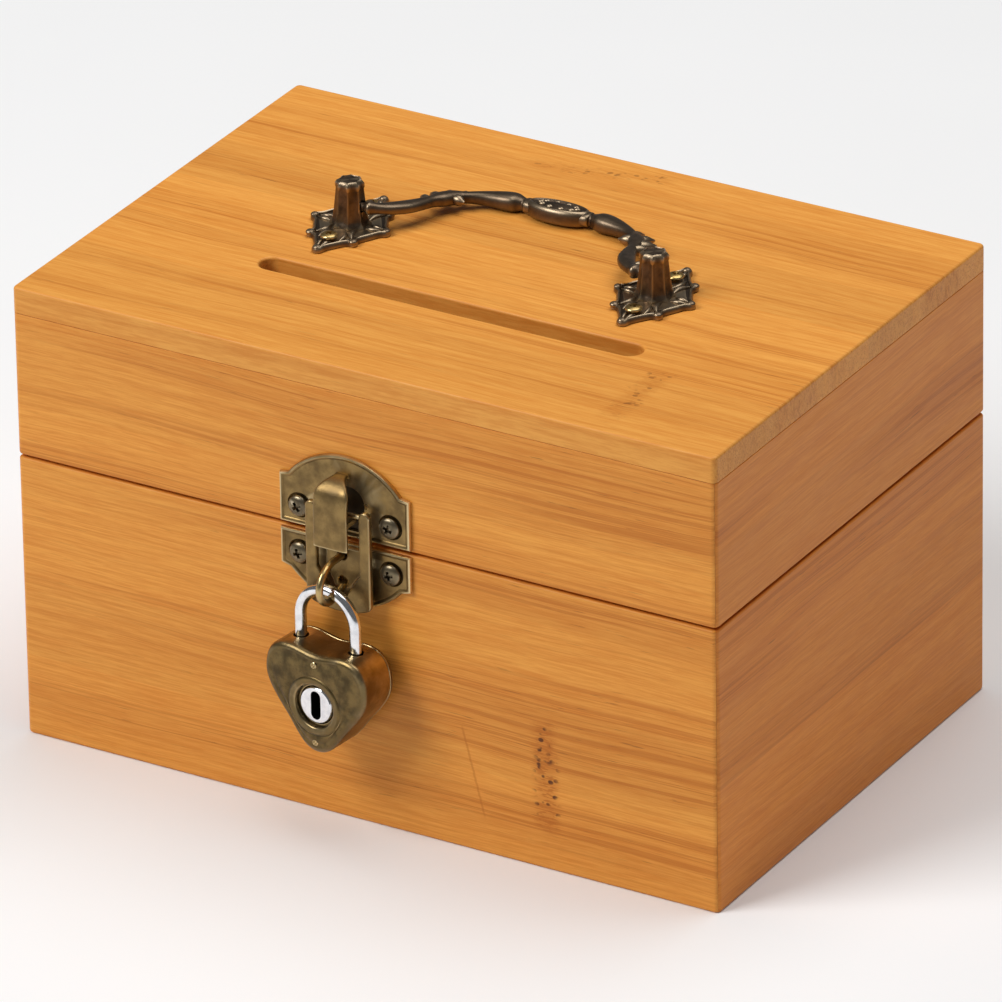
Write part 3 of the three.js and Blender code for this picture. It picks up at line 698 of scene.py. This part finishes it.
def add_bar(bm, start, end, radius, sides=24, chamfer=0.15, bore=0.0):
    """A round bar between two points, with eased ends, bored through if asked."""
    start, end = Vector(start), Vector(end)
    axis = (end - start).normalized()
    up = Vector((0, 0, 1)) if abs(axis.z) < 0.9 else Vector((1, 0, 0))
    side = axis.cross(up).normalized()
    up = side.cross(axis)

    def ring(point, r):
        turns = [math.tau * k / sides for k in range(sides)]
        return [point + side * (r * math.cos(a)) + up * (r * math.sin(a)) for a in turns]

    rings = [
        ring(start, radius - chamfer), ring(start + axis * chamfer, radius),
        ring(end - axis * chamfer, radius), ring(end, radius - chamfer),
    ]
    if bore:
        rings += [ring(end, bore), ring(start, bore)]
    add_loft(bm, rings, wrap=bool(bore))


def hinge_leaf(side, hand, leaf):
    bm = bmesh.new()
    up = 1 if leaf == "lid" else -1
    x = hand * HINGE_X
    low, high = sorted((up * HINGE_LEAF["near"], up * HINGE_LEAF["far"]))
    rim = [(x - HINGE_HALF, low), (x + HINGE_HALF, low), (x + HINGE_HALF, high), (x - HINGE_HALF, high)]
    across, radius = HINGE_SCREW["x"], HINGE_LEAF["hole"]
    holes = [arc((x + k * across, up * HINGE_SCREW["up"]), radius, 0, 345, 23) for k in (-1, 1)]
    add_plate(bm, on_back, rim, eased(0.0, HINGE_LEAF["thick"], 0.1, 0.35), holes)
    inner, outer = HINGE_BARREL["middle"], HINGE_BARREL["middle"] + HINGE_BARREL["play"]
    spans = [(-inner, inner)] if leaf == "lid" else [(-HINGE_HALF, -outer), (outer, HINGE_HALF)]
    for a, b in spans:
        ends = (on_back(x + a, 0, HINGE_OUT), on_back(x + b, 0, HINGE_OUT))
        add_bar(bm, *ends, HINGE_BARREL["radius"], bore=HINGE_BARREL["bore"])
        low, high = sorted((up * 1.1, up * 2.6))
        neck = [(x + a, low), (x + b, low), (x + b, high), (x + a, high)]
        add_plate(bm, on_back, neck, eased(0.1, 0.95, 0.05, 0.05, 1))
    node = f"hinge_{leaf}_leaf_{side}"
    make(node + "_visible", bm, FINISH["hinge"], leaf, [node])


def hinges():
    for side, hand in (("left", -1), ("right", 1)):
        for leaf in ("base", "lid"):
            hinge_leaf(side, hand, leaf)
        bm = bmesh.new()
        ends = (on_back(hand * HINGE_X + k * HINGE_HALF, 0, HINGE_OUT) for k in (-1, 1))
        add_bar(bm, *ends, HINGE_BARREL["pin"], chamfer=0.2)
        node = f"hinge_pin_{side}"
        make(node + "_visible", bm, FINISH["hinge"], "base", [node])


# ---- Hasp ----

PLATE_TOP = 0.9
BEAD = [(0.0, 0.25), (0.25, 0.0), (0.8, 0.0), (1.15, 0.2), (1.3, 0.55), (1.2, 0.95), (PLATE_TOP, 1.3)]
COUNTERSINK = [(0.0, 0.0), (0.2, 0.05), (0.35, 1.3), (0.6, 1.6), (PLATE_TOP, 1.9)]


def arch(half, foot, top, ears, edge):
    """A plate outline: square ears either side of an arch, heights measured away from the seam."""
    rise = top - foot
    radius = (half * half + rise * rise) / (2 * rise)
    start = math.degrees(math.asin(half / radius))
    curve = arc((0, top - radius), radius, 90 - start, 90 + start, 28)
    return [(-HASP_HALF, edge), (HASP_HALF, edge), (HASP_HALF, ears)] + curve + [(-HASP_HALF, ears)]


def mirrored(loop):
    return [(u, -v) for u, v in loop]


def screw_holes(up):
    """The two screw holes of a hasp plate, above the seam if up is 1 and below it if -1."""
    across, height = HASP_SCREW["x"], up * HASP_SCREW["up"]
    return [arc((x, height), HASP_HOLE, 0, 345, 23) for x in (-across, across)]


def hasp_upper_plate():
    bm = bmesh.new()
    rim = arch(half=16.0, foot=15.0, top=22.8, ears=14.5, edge=1.1)
    window = [(-4.9, 2.9), (5.6, 2.9), (5.6, 10.4)] + arc((1.2, 10.4), 4.4, 0, 90, 8)[1:] + [(-4.9, 14.8)]
    add_plate(bm, on_front, rim, BEAD, screw_holes(1), COUNTERSINK, [window])
    tongue = [(0.5, 17.2), (1.6, 17.4), (3.4, 17.1), (5.0, 16.2), (6.2, 14.8), (6.8, 12.8)]
    tongue.append((TONGUE["out"], 10.0))
    path = [(out, z) for out, z in smooth_path(tongue, 4)]
    path += [(TONGUE["out"], z) for z in (8, 6, 4, 2, 0.5, 0.1)]
    rings = []
    for i, (out, z) in enumerate(path):
        ahead = Vector(path[min(i + 1, len(path) - 1)]) - Vector(path[max(i - 1, 0)])
        normal = Vector((-ahead.y, ahead.x)).normalized()
        crown = min(0.97, max(0.0, (z - TONGUE["shoulder"]) / TONGUE["crown"]))
        half = TONGUE["half"] * math.sqrt(1 - crown * crown)
        ring = []
        for k in range(28):
            c, s = math.cos(math.tau * k / 28), math.sin(math.tau * k / 28)
            u = math.copysign(abs(c) ** 0.35, c) * half + TONGUE["shift"]
            w = math.copysign(abs(s) ** 0.55, s) * TONGUE["thick"]
            ring.append(on_front(u, z + normal.y * w, out + normal.x * w))
        rings.append(ring)
    add_loft(bm, rings)
    shelf = [(-4.0, 6.2), (4.0, 6.2), (4.0, 7.4), (-4.0, 7.4)]
    add_plate(bm, on_front, shelf, eased(1.7, 6.7, 0.1, 0.1, 1))
    make("hasp_upper_plate_visible", bm, FINISH["hasp"], "lid", ["hasp_upper_plate"])
    # A near-black sheet fills the window behind the tongue: painted shade over the wood that the window
    # shows.
    bm = bmesh.new()
    add_plate(bm, on_front, window, [(0.02, -0.3), (0.12, -0.3)])
    make("hasp_upper_plate_painted_shade", bm, FINISH["recess"], "lid", ["hasp_upper_plate"])


def hasp_lower_plate():
    bm = bmesh.new()
    rim = mirrored(arch(half=15.8, foot=11.2, top=18.2, ears=10.4, edge=0.6))
    add_plate(bm, on_front, rim, BEAD, screw_holes(-1), COUNTERSINK)
    pad = [(-4.7, -7.0), (-2.2, -12.4), (2.2, -12.4), (5.6, -7.0), (5.6, -1.2), (-4.7, -1.2)]
    slots = [arc((0, z), 1.25, 0, 340, 17) for z in (-3.6, -10.6)]
    add_plate(bm, on_front, pad, eased(0.7, 2.6, 0.1, 0.45), slots)
    make("hasp_lower_plate_visible", bm, FINISH["hasp"], "base", ["hasp_lower_plate"])


def hasp_frame():
    bm = bmesh.new()
    out, inner = 9.2, 6.1
    stops = [(-out, -15.2), (-8.4, -16.4), (-5, -17.5), (0, -18.0), (5, -17.5), (8.4, -16.4), (out, -15.2)]
    foot = [(p.x, p.y) for p in smooth_path(stops, 4)]
    window = [(inner, -7.0), (2.6, -12.4), (1.5, -15.2), (-1.5, -15.2), (-2.6, -12.4), (-inner, -7.0)]
    centre, radius = (out + inner) / 2, (out - inner) / 2
    right = arc((centre, PIVOT["up"]), radius, 0, 180, 12)
    left = arc((-centre, PIVOT["up"]), radius, 0, 180, 12)
    add_plate(bm, on_front, foot + right + window + left, eased(3.3, 4.9, 0.3, 0.5))
    make("hasp_frame_visible", bm, FINISH["hasp"], "hasp", ["hasp_frame"])
    bm = bmesh.new()
    reach, radius = 9.15, 0.65
    ends = (on_front(x, PIVOT["up"], PIVOT["out"]) for x in (-reach, reach))
    add_bar(bm, *ends, radius, 20, 0.1)
    make("hasp_crossbar_visible", bm, FINISH["hasp"], "hasp", ["hasp_crossbar"])


def staple():
    bm = bmesh.new()
    stops = [
        (-2.9, -3.6), (1.0, -3.6), (4.0, -3.5), (8.4, -3.6), (12.2, -5.5), (13.7, -8.8), (12.4, -11.9),
        (9.0, -13.6), (5.0, -12.9), (2.0, -11.9), (-2.9, -11.8),
    ]
    path = [on_front(0, p.y, p.x) for p in smooth_path(stops, 6)]
    wire = 0.95
    add_tube(bm, path, (1, 0, 0), (wire, wire), 18)
    make("staple_ring_visible", bm, FINISH["staple"], "base", ["staple_ring"])


# ---- Padlock ----

def bezier(a, b, c, d, steps):
    points = []
    for i in range(steps):
        t = i / steps
        k = 1 - t
        points.append(k ** 3 * a + 3 * k * k * t * b + 3 * k * t * t * c + t ** 3 * d)
    return points


def heart(inset=0.0):
    """The case's outline, drawn in by the given amount, as many points each time."""
    w = LOCK["width"] - inset
    bottom = LOCK["bottom"] + inset * 1.3
    lobe = LOCK["lobe"] - inset
    notch = LOCK["notch"] - inset * 1.1
    hip = bottom + 19.5 - inset * 0.5
    spans = [
        [(0, bottom), (w * 0.28, bottom), (w * 0.4, bottom + 4.5), (w * 0.62, bottom + 8.6)],
        [(w * 0.62, bottom + 8.6), (w * 0.86, bottom + 13), (w, bottom + 16), (w, hip)],
        [(w, hip), (w, lobe - 3.2), (w * 0.86, lobe), (w * 0.52, lobe)],
        [(w * 0.52, lobe), (w * 0.34, lobe), (w * 0.16, notch), (0, notch)],
    ]
    right = [p for span in spans for p in bezier(*(Vector(q) for q in span), 12)]
    top = Vector((0, notch))
    left = [Vector((-p.x, p.y)) for p in reversed(right[1:])]
    return right + [top] + left


def round_ring(radius, y):
    """A circle about the plug whose points lie in the same directions as the heart's."""
    centre = Vector((0, LOCK["plug_z"]))
    return [in_lock(p.x, y, p.y) for p in (centre + (q - centre).normalized() * radius for q in heart())]


def blend_ring(inset, radius, share, y):
    """Between the heart and the circle: share 0 is the heart."""
    centre = Vector((0, LOCK["plug_z"]))
    ring = []
    for p in heart(inset):
        away = p - centre
        ring.append(centre + away.normalized() * ((1 - share) * away.length + share * radius))
    return [in_lock(p.x, y, p.y) for p in ring]


def heart_ring(inset, y):
    return [in_lock(p.x, y, p.y) for p in heart(inset)]


def case_front():
    bm = bmesh.new()
    front, back, cavity = LOCK["front"], LOCK["shell_back"], LOCK["cavity"]
    rings = [heart_ring(0.1, back + 0.2), heart_ring(0.0, back), heart_ring(0.0, front + 1.6)]
    for k in range(1, 6):
        turn = math.radians(18 * k)
        rings.append(heart_ring(1.5 * (1 - math.cos(turn)), front + 1.6 - 1.6 * math.sin(turn)))
    rings.append(heart_ring(1.9, front + 0.1))
    for share, bulge in ((0.12, 0.05), (0.35, -0.2), (0.6, -0.3), (0.8, -0.3)):
        rings.append(blend_ring(1.9, 7.9, share, front + bulge))
    for radius, y in (
        (8.0, front - 0.2), (7.7, front - 0.45), (7.3, front - 0.55), (6.5, front - 0.5),
        (6.0, front - 0.35), (5.75, front), (5.7, front + 0.9), (5.2, front + 0.95), (5.2, cavity),
    ):
        rings.append(round_ring(radius, y))
    rings += [heart_ring(2.1, cavity), heart_ring(2.0, back)]
    add_loft(bm, rings, wrap=True)
    for side in (-1, 1):
        cutter = bmesh.new()
        x = side * LOCK["leg_x"]
        add_bar(cutter, in_lock(x, 0, 47.0), in_lock(x, 0, 57.0), 2.0, 32, 0.1)
        bm = carve(bm, cutter)
    node = "padlock_case_front"
    make(node + "_visible", bm, FINISH["case"], "case", [node], 40)


def case_back():
    bm = bmesh.new()
    back = LOCK["back"]
    rings = [heart_ring(0.1, back - 1.6), heart_ring(0.0, back - 1.5)]
    for turn in (math.radians(15 * k) for k in range(7)):
        rings.append(heart_ring(1.3 * (1 - math.cos(turn)), back - 1.3 * (1 - math.sin(turn))))
    add_loft(bm, rings)
    make("padlock_case_back_visible", bm, FINISH["case"], "case", ["padlock_case_back"])


def shackle_path():
    leg = LOCK["leg_x"]
    spring = LOCK["crown"] - LOCK["rod"] - leg
    toe = [(-leg, z) for z in (45.4, 45.8, 50.0, 55.0)]
    heel = [(leg, z) for z in (55.0, 50.0, 42.4, 42.0)]
    return toe + arc((0, spring), leg, 180, 0, 28) + heel


def shackle():
    bm = bmesh.new()
    path = shackle_path()
    up = LOCK_FRAME.to_3x3() @ Vector((0, 1, 0))
    rod = LOCK["rod"]
    sizes = [(rod, rod)] * len(path)
    sizes[0] = sizes[-1] = (rod - 0.4, rod - 0.4)
    add_tube(bm, [in_lock(x, 0, z) for x, z in path], up, sizes, 28)
    notch = bmesh.new()
    x = -LOCK["leg_x"] + rod / 2
    corners = [(x, -4), (x + 4, -4), (x + 4, 4), (x, 4)]
    add_loft(notch, [[in_lock(u, v, z) for u, v in corners] for z in (46.0, 47.9)])
    bm = carve(bm, notch)
    make("padlock_shackle_visible", bm, FINISH["chrome"], "shackle", ["padlock_shackle"])


def key_plug():
    bm = bmesh.new()
    front = LOCK["front"] + 0.4
    z = LOCK["plug_z"]
    profile = [(4.7, front + 7.6), (4.9, front + 7.4), (4.9, front + 0.35), (4.6, front + 0.05), (3.9, front)]
    profile += [(3.0, front + 0.05), (0.0, front + 0.1)]
    add_lathe(bm, lambda a, b, h: in_lock(a, h, z + b), profile, 48)
    tool = bmesh.new()
    reach, half = 2.4, 1.5
    slot = arc((0, z + reach), half, 0, 180, 10) + arc((0, z - reach), half, 180, 360, 10)
    add_loft(tool, [[in_lock(u, y, v) for u, v in slot] for y in (front - 1, front + 5)])
    bm = carve(bm, tool)
    # A black sheet lines the key slot: painted shade inside the slot, over the plug's chrome walls.
    shade_sheet = bmesh.new()
    shade_slot = offset(slot, 0.02)
    rings = [[in_lock(u, y, v) for u, v in shade_slot] for y in (front + 0.35, front + 4.9)]
    rows = [[shade_sheet.verts.new(p) for p in ring] for ring in rings]
    bridge(shade_sheet, *rows)
    shade_sheet.faces.new(rows[1])
    make("padlock_key_plug_visible", bm, FINISH["chrome"], "plug", ["padlock_key_plug"])
    make("padlock_keyway_painted_shade", shade_sheet, FINISH["keyway"], "plug", ["padlock_key_plug"])


def rivets():
    for word, z in (("upper", 49.0), ("lower", 27.6)):
        bm = bmesh.new()
        front, back = LOCK["front"], LOCK["back"]
        profile = [(0.8, back), (0.9, back - 0.1), (0.9, front - 0.1), (0.75, front - 0.25)]
        profile += [(0.4, front - 0.3), (0.0, front - 0.3)]
        add_lathe(bm, lambda a, b, h: in_lock(a, h, z + b), profile, 28)
        node = f"padlock_rivet_{word}"
        make(node + "_visible", bm, FINISH["rivet"], "case", [node])


def coil(node, base, axis, side, radius, wire, length, turns):
    """A spring standing on its base point along the axis."""
    axis, side = Vector(axis), Vector(side)
    other = axis.cross(side)
    steps_a_turn = 24
    steps = turns * steps_a_turn
    bm = bmesh.new()
    path = []
    for i in range(steps + 1):
        angle = math.tau * i / steps_a_turn
        rise = wire + (length - 2 * wire) * i / steps
        path.append(Vector(base) + axis * rise + (side * math.cos(angle) + other * math.sin(angle)) * radius)
    add_tube(bm, path, axis, (wire, wire), 10)
    make(node + "_visible", bm, FINISH["steel"], "case", [node])


def lock_inside():
    bm = bmesh.new()
    half = 1.6
    for x0, x1, z0, z1 in ((-6.6, -1.0, 46.2, 47.7), (-4.0, -1.0, 44.2, 46.4)):
        rim = [(x0, -half), (x1, -half), (x1, half), (x0, half)]
        add_plate(bm, in_lock, rim, eased(z0, z1, 0.15, 0.15, 2))
    make("padlock_latch_visible", bm, FINISH["steel"], "latch", ["padlock_latch"])
    right = LOCK_FRAME.to_3x3() @ Vector((1, 0, 0))
    coil("padlock_latch_spring", in_lock(-0.7, 0, 45.6), right, (0, 0, 1), 1.1, 0.2, 4.6, 5)
    coil("padlock_shackle_spring", in_lock(8.2, 0, 38.1), (0, 0, 1), right, 1.3, 0.22, 3.6, 3)


# ---- Handle ----

# A quarter of the handle plate's outline: along the box and across it, from the post's middle.
QUARTER = [
    (11.5, 0.0), (11.0, 1.1), (9.6, 2.2), (8.7, 3.9), (7.4, 6.2), (6.9, 7.6), (7.3, 8.9), (6.7, 10.1),
    (5.3, 10.2), (4.2, 11.3), (2.9, 13.2), (1.8, 15.0), (1.3, 16.8), (0.0, 17.5),
]


def plate_outline():
    top = QUARTER + [(-u, v) for u, v in QUARTER[-2::-1]]
    loop = top + [(u, -v) for u, v in top[-2:0:-1]]
    return [(p.x, p.y) for p in smooth_path(loop, 3, closed=True)]


def add_leaf(bm, place, start, end, width, height, bulge=0.0):
    """A raised leaf on a surface: a tapering ridge that swells in its middle."""
    start, end = Vector(start), Vector(end)
    along = end - start
    side = Vector((-along.y, along.x)).normalized()
    rings = []
    steps, around = 10, 12
    for i in range(steps + 1):
        t = i / steps
        swell = math.sin(math.pi * min(max(t, 0.04), 0.96)) ** 0.7
        centre = start + along * t + side * (bulge * math.sin(math.pi * t))
        ring = []
        for k in range(around):
            a = math.tau * k / around
            p = centre + side * (width * swell * math.cos(a))
            ring.append(place(p.x, p.y, height * swell * math.sin(a)))
        rings.append(ring)
    add_loft(bm, rings)


# A post's radius and height above the lid, from its foot up.
POST = [
    (5.4, 0.8), (5.3, 1.8), (4.7, 2.4), (4.45, 3.2), (4.2, 5.0), (3.75, 9.0), (3.55, 11.0), (3.75, 11.4),
    (3.75, 12.4), (3.3, 13.1), (2.7, 13.4), (2.5, 13.2), (0.0, 13.3),
]


def post_ring(place, radius, height):
    """An eight-sided section whose faces are a little hollow, as on a fluted post."""
    sides, steps = 8, 6
    corner = math.pi / sides
    ring = []
    for k in range(sides * steps):
        share = (k % steps) / steps
        flute = 0.11 * math.sin(math.pi * share)
        angle = math.tau * (k + steps / 2) / (sides * steps)
        side = math.cos(corner) / math.cos(math.tau * share / sides - corner)
        r = max(radius * (side - flute * min(1.0, radius / 5)), 0.01)
        ring.append(place(r * math.cos(angle), r * math.sin(angle), height))
    return ring


def handle_post(side, hand):
    place = lambda u, v, w: Vector((hand * POST_X + u, POST_Y + v, TOP_Z + w))
    post, tool = bmesh.new(), bmesh.new()
    add_loft(post, [post_ring(place, radius, height) for radius, height in POST])
    inward, reach, bore = hand * (POST_X - 4.1), 3.6, 1.6
    ends = ((x, POST_Y, BAIL_PIVOT[2]) for x in (inward - reach, inward + reach))
    add_bar(tool, *ends, bore, 24, 0.05)
    bm = carve(post, tool)
    layers = [(0.0, 0.2), (0.3, 0.0), (1.0, 0.05), (1.5, 0.3), (1.7, 0.6), (1.5, 0.9), (1.1, 1.05)]
    add_plate(bm, place, plate_outline(), layers)
    plate_top = 1.25
    bed = [(9.4, 0.0), (0.0, 14.6), (-9.4, 0.0), (0.0, -14.6)]
    add_plate(bm, place, bed, [(0.1, 0.0), (1.05, 0.0), (plate_top, 0.6)])
    on_plate = lambda u, v, w: place(u, v, plate_top + w)
    for su in (-1, 1):
        for sv in (-1, 1):
            add_leaf(bm, on_plate, (su * 3.6, sv * 2.8), (su * 5.2, sv * 8.2), 0.9, 0.8, su * sv * 0.8)
            add_leaf(bm, on_plate, (su * 1.8, sv * 5.2), (su * 3.0, sv * 10.6), 0.7, 0.7, su * sv * -0.5)
            add_leaf(bm, on_plate, (su * 1.2, sv * 11.8), (su * 0.5, sv * 15.2), 0.6, 0.7)
            add_leaf(bm, on_plate, (su * 5.2, sv * 1.2), (su * 9.0, sv * 0.6), 0.7, 0.7)
            add_ball(bm, on_plate(su * 6.2, sv * 9.2, 0.0), (1.2, 1.2, 0.75))
        add_ball(bm, on_plate(su * 10.4, 0, 0.0), (1.1, 1.1, 0.75))
        add_ball(bm, on_plate(0, su * 16.2, 0.0), (1.1, 1.1, 0.75))
    node = f"handle_post_{side}"
    make(node + "_visible", bm, FINISH["handle"], "lid", [node], 34)


# The bail from its pivot to the medallion: along x, out from the pivot, half width in the bail's
# plane, and half thickness.
BAIL_HALF = [
    (42.4, 0.0, 1.0, 1.0), (41.0, 0.0, 1.15, 1.15), (39.6, 0.1, 1.2, 1.2), (38.4, 0.4, 2.3, 1.8),
    (37.2, 0.9, 1.6, 1.5), (35.6, 2.0, 1.8, 1.4), (33.6, 4.1, 2.2, 1.5), (31.4, 7.8, 2.3, 1.5),
    (29.9, 12.0, 1.8, 1.45), (29.0, 15.4, 1.5, 1.5), (28.0, 18.4, 2.3, 1.8), (26.4, 21.4, 2.1, 1.8),
    (24.0, 23.8, 1.5, 1.5), (21.0, 25.8, 1.8, 1.7), (17.6, 27.3, 2.5, 2.0), (14.6, 28.1, 3.0, 2.3),
    (12.4, 28.5, 2.9, 2.3), (10.6, BAIL_REACH, 2.0, 1.8), (9.6, BAIL_REACH, 1.7, 1.6),
    (8.2, BAIL_REACH, 2.6, 1.8),
]


# The medallion's two half widths at each height above the bail's plane.
MEDALLION = [
    (8.9, 4.5, 0.0), (8.9, 4.5, 1.0), (8.5, 4.2, 1.7), (7.9, 3.7, 2.0), (7.4, 3.2, 1.85), (7.0, 2.9, 1.55),
    (5.0, 2.1, 1.9), (2.5, 1.1, 2.3), (0.1, 0.1, 2.4),
]


def handle_bail():
    bm = bmesh.new()
    left = [(-x, v, a, b) for x, v, a, b in BAIL_HALF]
    path = smooth_path(left + [(0.0, BAIL_REACH, 2.2, 1.6)] + BAIL_HALF[::-1], 5)
    up = in_bail(0, 0, 1) - in_bail(0, 0, 0)
    add_tube(bm, [in_bail(p[0], p[1], 0) for p in path], up, [(p[2], p[3]) for p in path], 20, 0.8)
    for hand in (-1, 1):
        for start, end, width, bulge in (
            ((27.4, 15.6), (32.4, 21.0), 1.9, 0.6), ((26.4, 19.0), (29.8, 24.6), 1.7, 0.6),
            ((24.2, 21.2), (25.6, 26.8), 1.4, 0.4), ((29.0, 12.6), (33.0, 16.8), 1.4, 0.5),
            ((27.0, 20.4), (22.2, 19.8), 1.4, -0.4), ((36.2, 1.4), (38.4, 5.4), 1.2, 0.3),
        ):
            mirror = lambda u, v, w, s=hand: in_bail(s * u, v, w)
            add_leaf(bm, mirror, start, end, width, 1.5, bulge)
    turns = [math.tau * k / 48 for k in range(48)]
    for face in (1, -1):
        rings = []
        for a, b, w in MEDALLION:
            rings.append([in_bail(a * math.cos(t), BAIL_REACH + b * math.sin(t), face * w) for t in turns])
        add_loft(bm, rings)
    beads, across, along = 10, 5.2, 2.1
    for k in range(beads):
        angle = math.tau * k / beads
        spot = in_bail(across * math.cos(angle), BAIL_REACH + along * math.sin(angle), 1.7)
        add_ball(bm, spot, (1.05, 0.65, 0.65), around=12, rings=8)
    make("handle_bail_visible", bm, FINISH["handle"], "handle", ["handle_bail"], 40)


# ---- Stage, light and camera ----

# The camera's aim and distance are in metres, its angles in degrees, its lens and sensor in millimetres.
AIM = Vector((-0.00076, 0.0, 0.0588))
CAMERA = {
    "distance": 3.052, "azimuth": 30.762, "elevation": 26.632, "roll": -0.97, "lens": 437.7, "sensor": 36.0,
}
LIGHTS_AIM = Vector((0.0, 0.0, 0.06))
WORLD_STRENGTH = 0.12


def stage():
    bpy.ops.mesh.primitive_plane_add(size=12, location=(0, 0, 0))
    floor = bpy.context.object
    floor.name = "studio_floor"
    g = Graph("studio_paper")
    paper = g.noise(g.x * 0.01, g.y * 0.01, 0.0)
    floor.data.materials.append(g.finish(
        Base_Color=g.mix(paper, (0.90, 0.90, 0.90), (0.93, 0.93, 0.93)), Roughness=0.9,
    ))


def area_light(name, location, size, power):
    """A square light of the given size in metres and power in watts, aimed at the box."""
    data = bpy.data.lights.new(name, "AREA")
    data.shape = "RECTANGLE"
    data.size, data.size_y = size, size
    data.energy = power
    light = bpy.data.objects.new(name, data)
    light.location = location
    light.rotation_euler = (LIGHTS_AIM - Vector(location)).to_track_quat("-Z", "Y").to_euler()
    bpy.context.scene.collection.objects.link(light)


def lights():
    area_light("key_light", (-1.1, -1.5, 1.9), 1.2, 44)
    area_light("top_light", (0.3, 0.5, 2.2), 1.8, 31)
    world = bpy.data.worlds.new("studio")
    world.use_nodes = True
    sky = world.node_tree.nodes["Background"]
    sky.inputs["Color"].default_value = (1, 1, 1, 1)
    sky.inputs["Strength"].default_value = WORLD_STRENGTH
    bpy.context.scene.world = world
    bpy.context.scene.view_settings.view_transform = "Standard"


def camera():
    azimuth, elevation, roll = (math.radians(CAMERA[k]) for k in ("azimuth", "elevation", "roll"))
    flat_reach = math.cos(elevation)
    back = Vector((math.sin(azimuth) * flat_reach, -math.cos(azimuth) * flat_reach, math.sin(elevation)))
    level = Vector((math.cos(azimuth), math.sin(azimuth), 0))
    upright = back.cross(level)
    right = level * math.cos(roll) + upright * math.sin(roll)
    up = back.cross(right)
    data = bpy.data.cameras.new("camera")
    data.lens = CAMERA["lens"]
    data.sensor_width = CAMERA["sensor"]
    obj = bpy.data.objects.new("camera", data)
    turn = Matrix((right, up, back)).transposed().to_4x4()
    obj.matrix_world = Matrix.Translation(AIM + back * CAMERA["distance"]) @ turn
    bpy.context.scene.collection.objects.link(obj)
    bpy.context.scene.camera = obj


# ---- The scene ----

boards()
screws()
hinges()
hasp_upper_plate()
hasp_lower_plate()
hasp_frame()
staple()
case_front()
case_back()
shackle()
key_plug()
rivets()
lock_inside()
for word, sign in (("left", -1), ("right", 1)):
    handle_post(word, sign)
handle_bail()
stage()
lights()
camera()
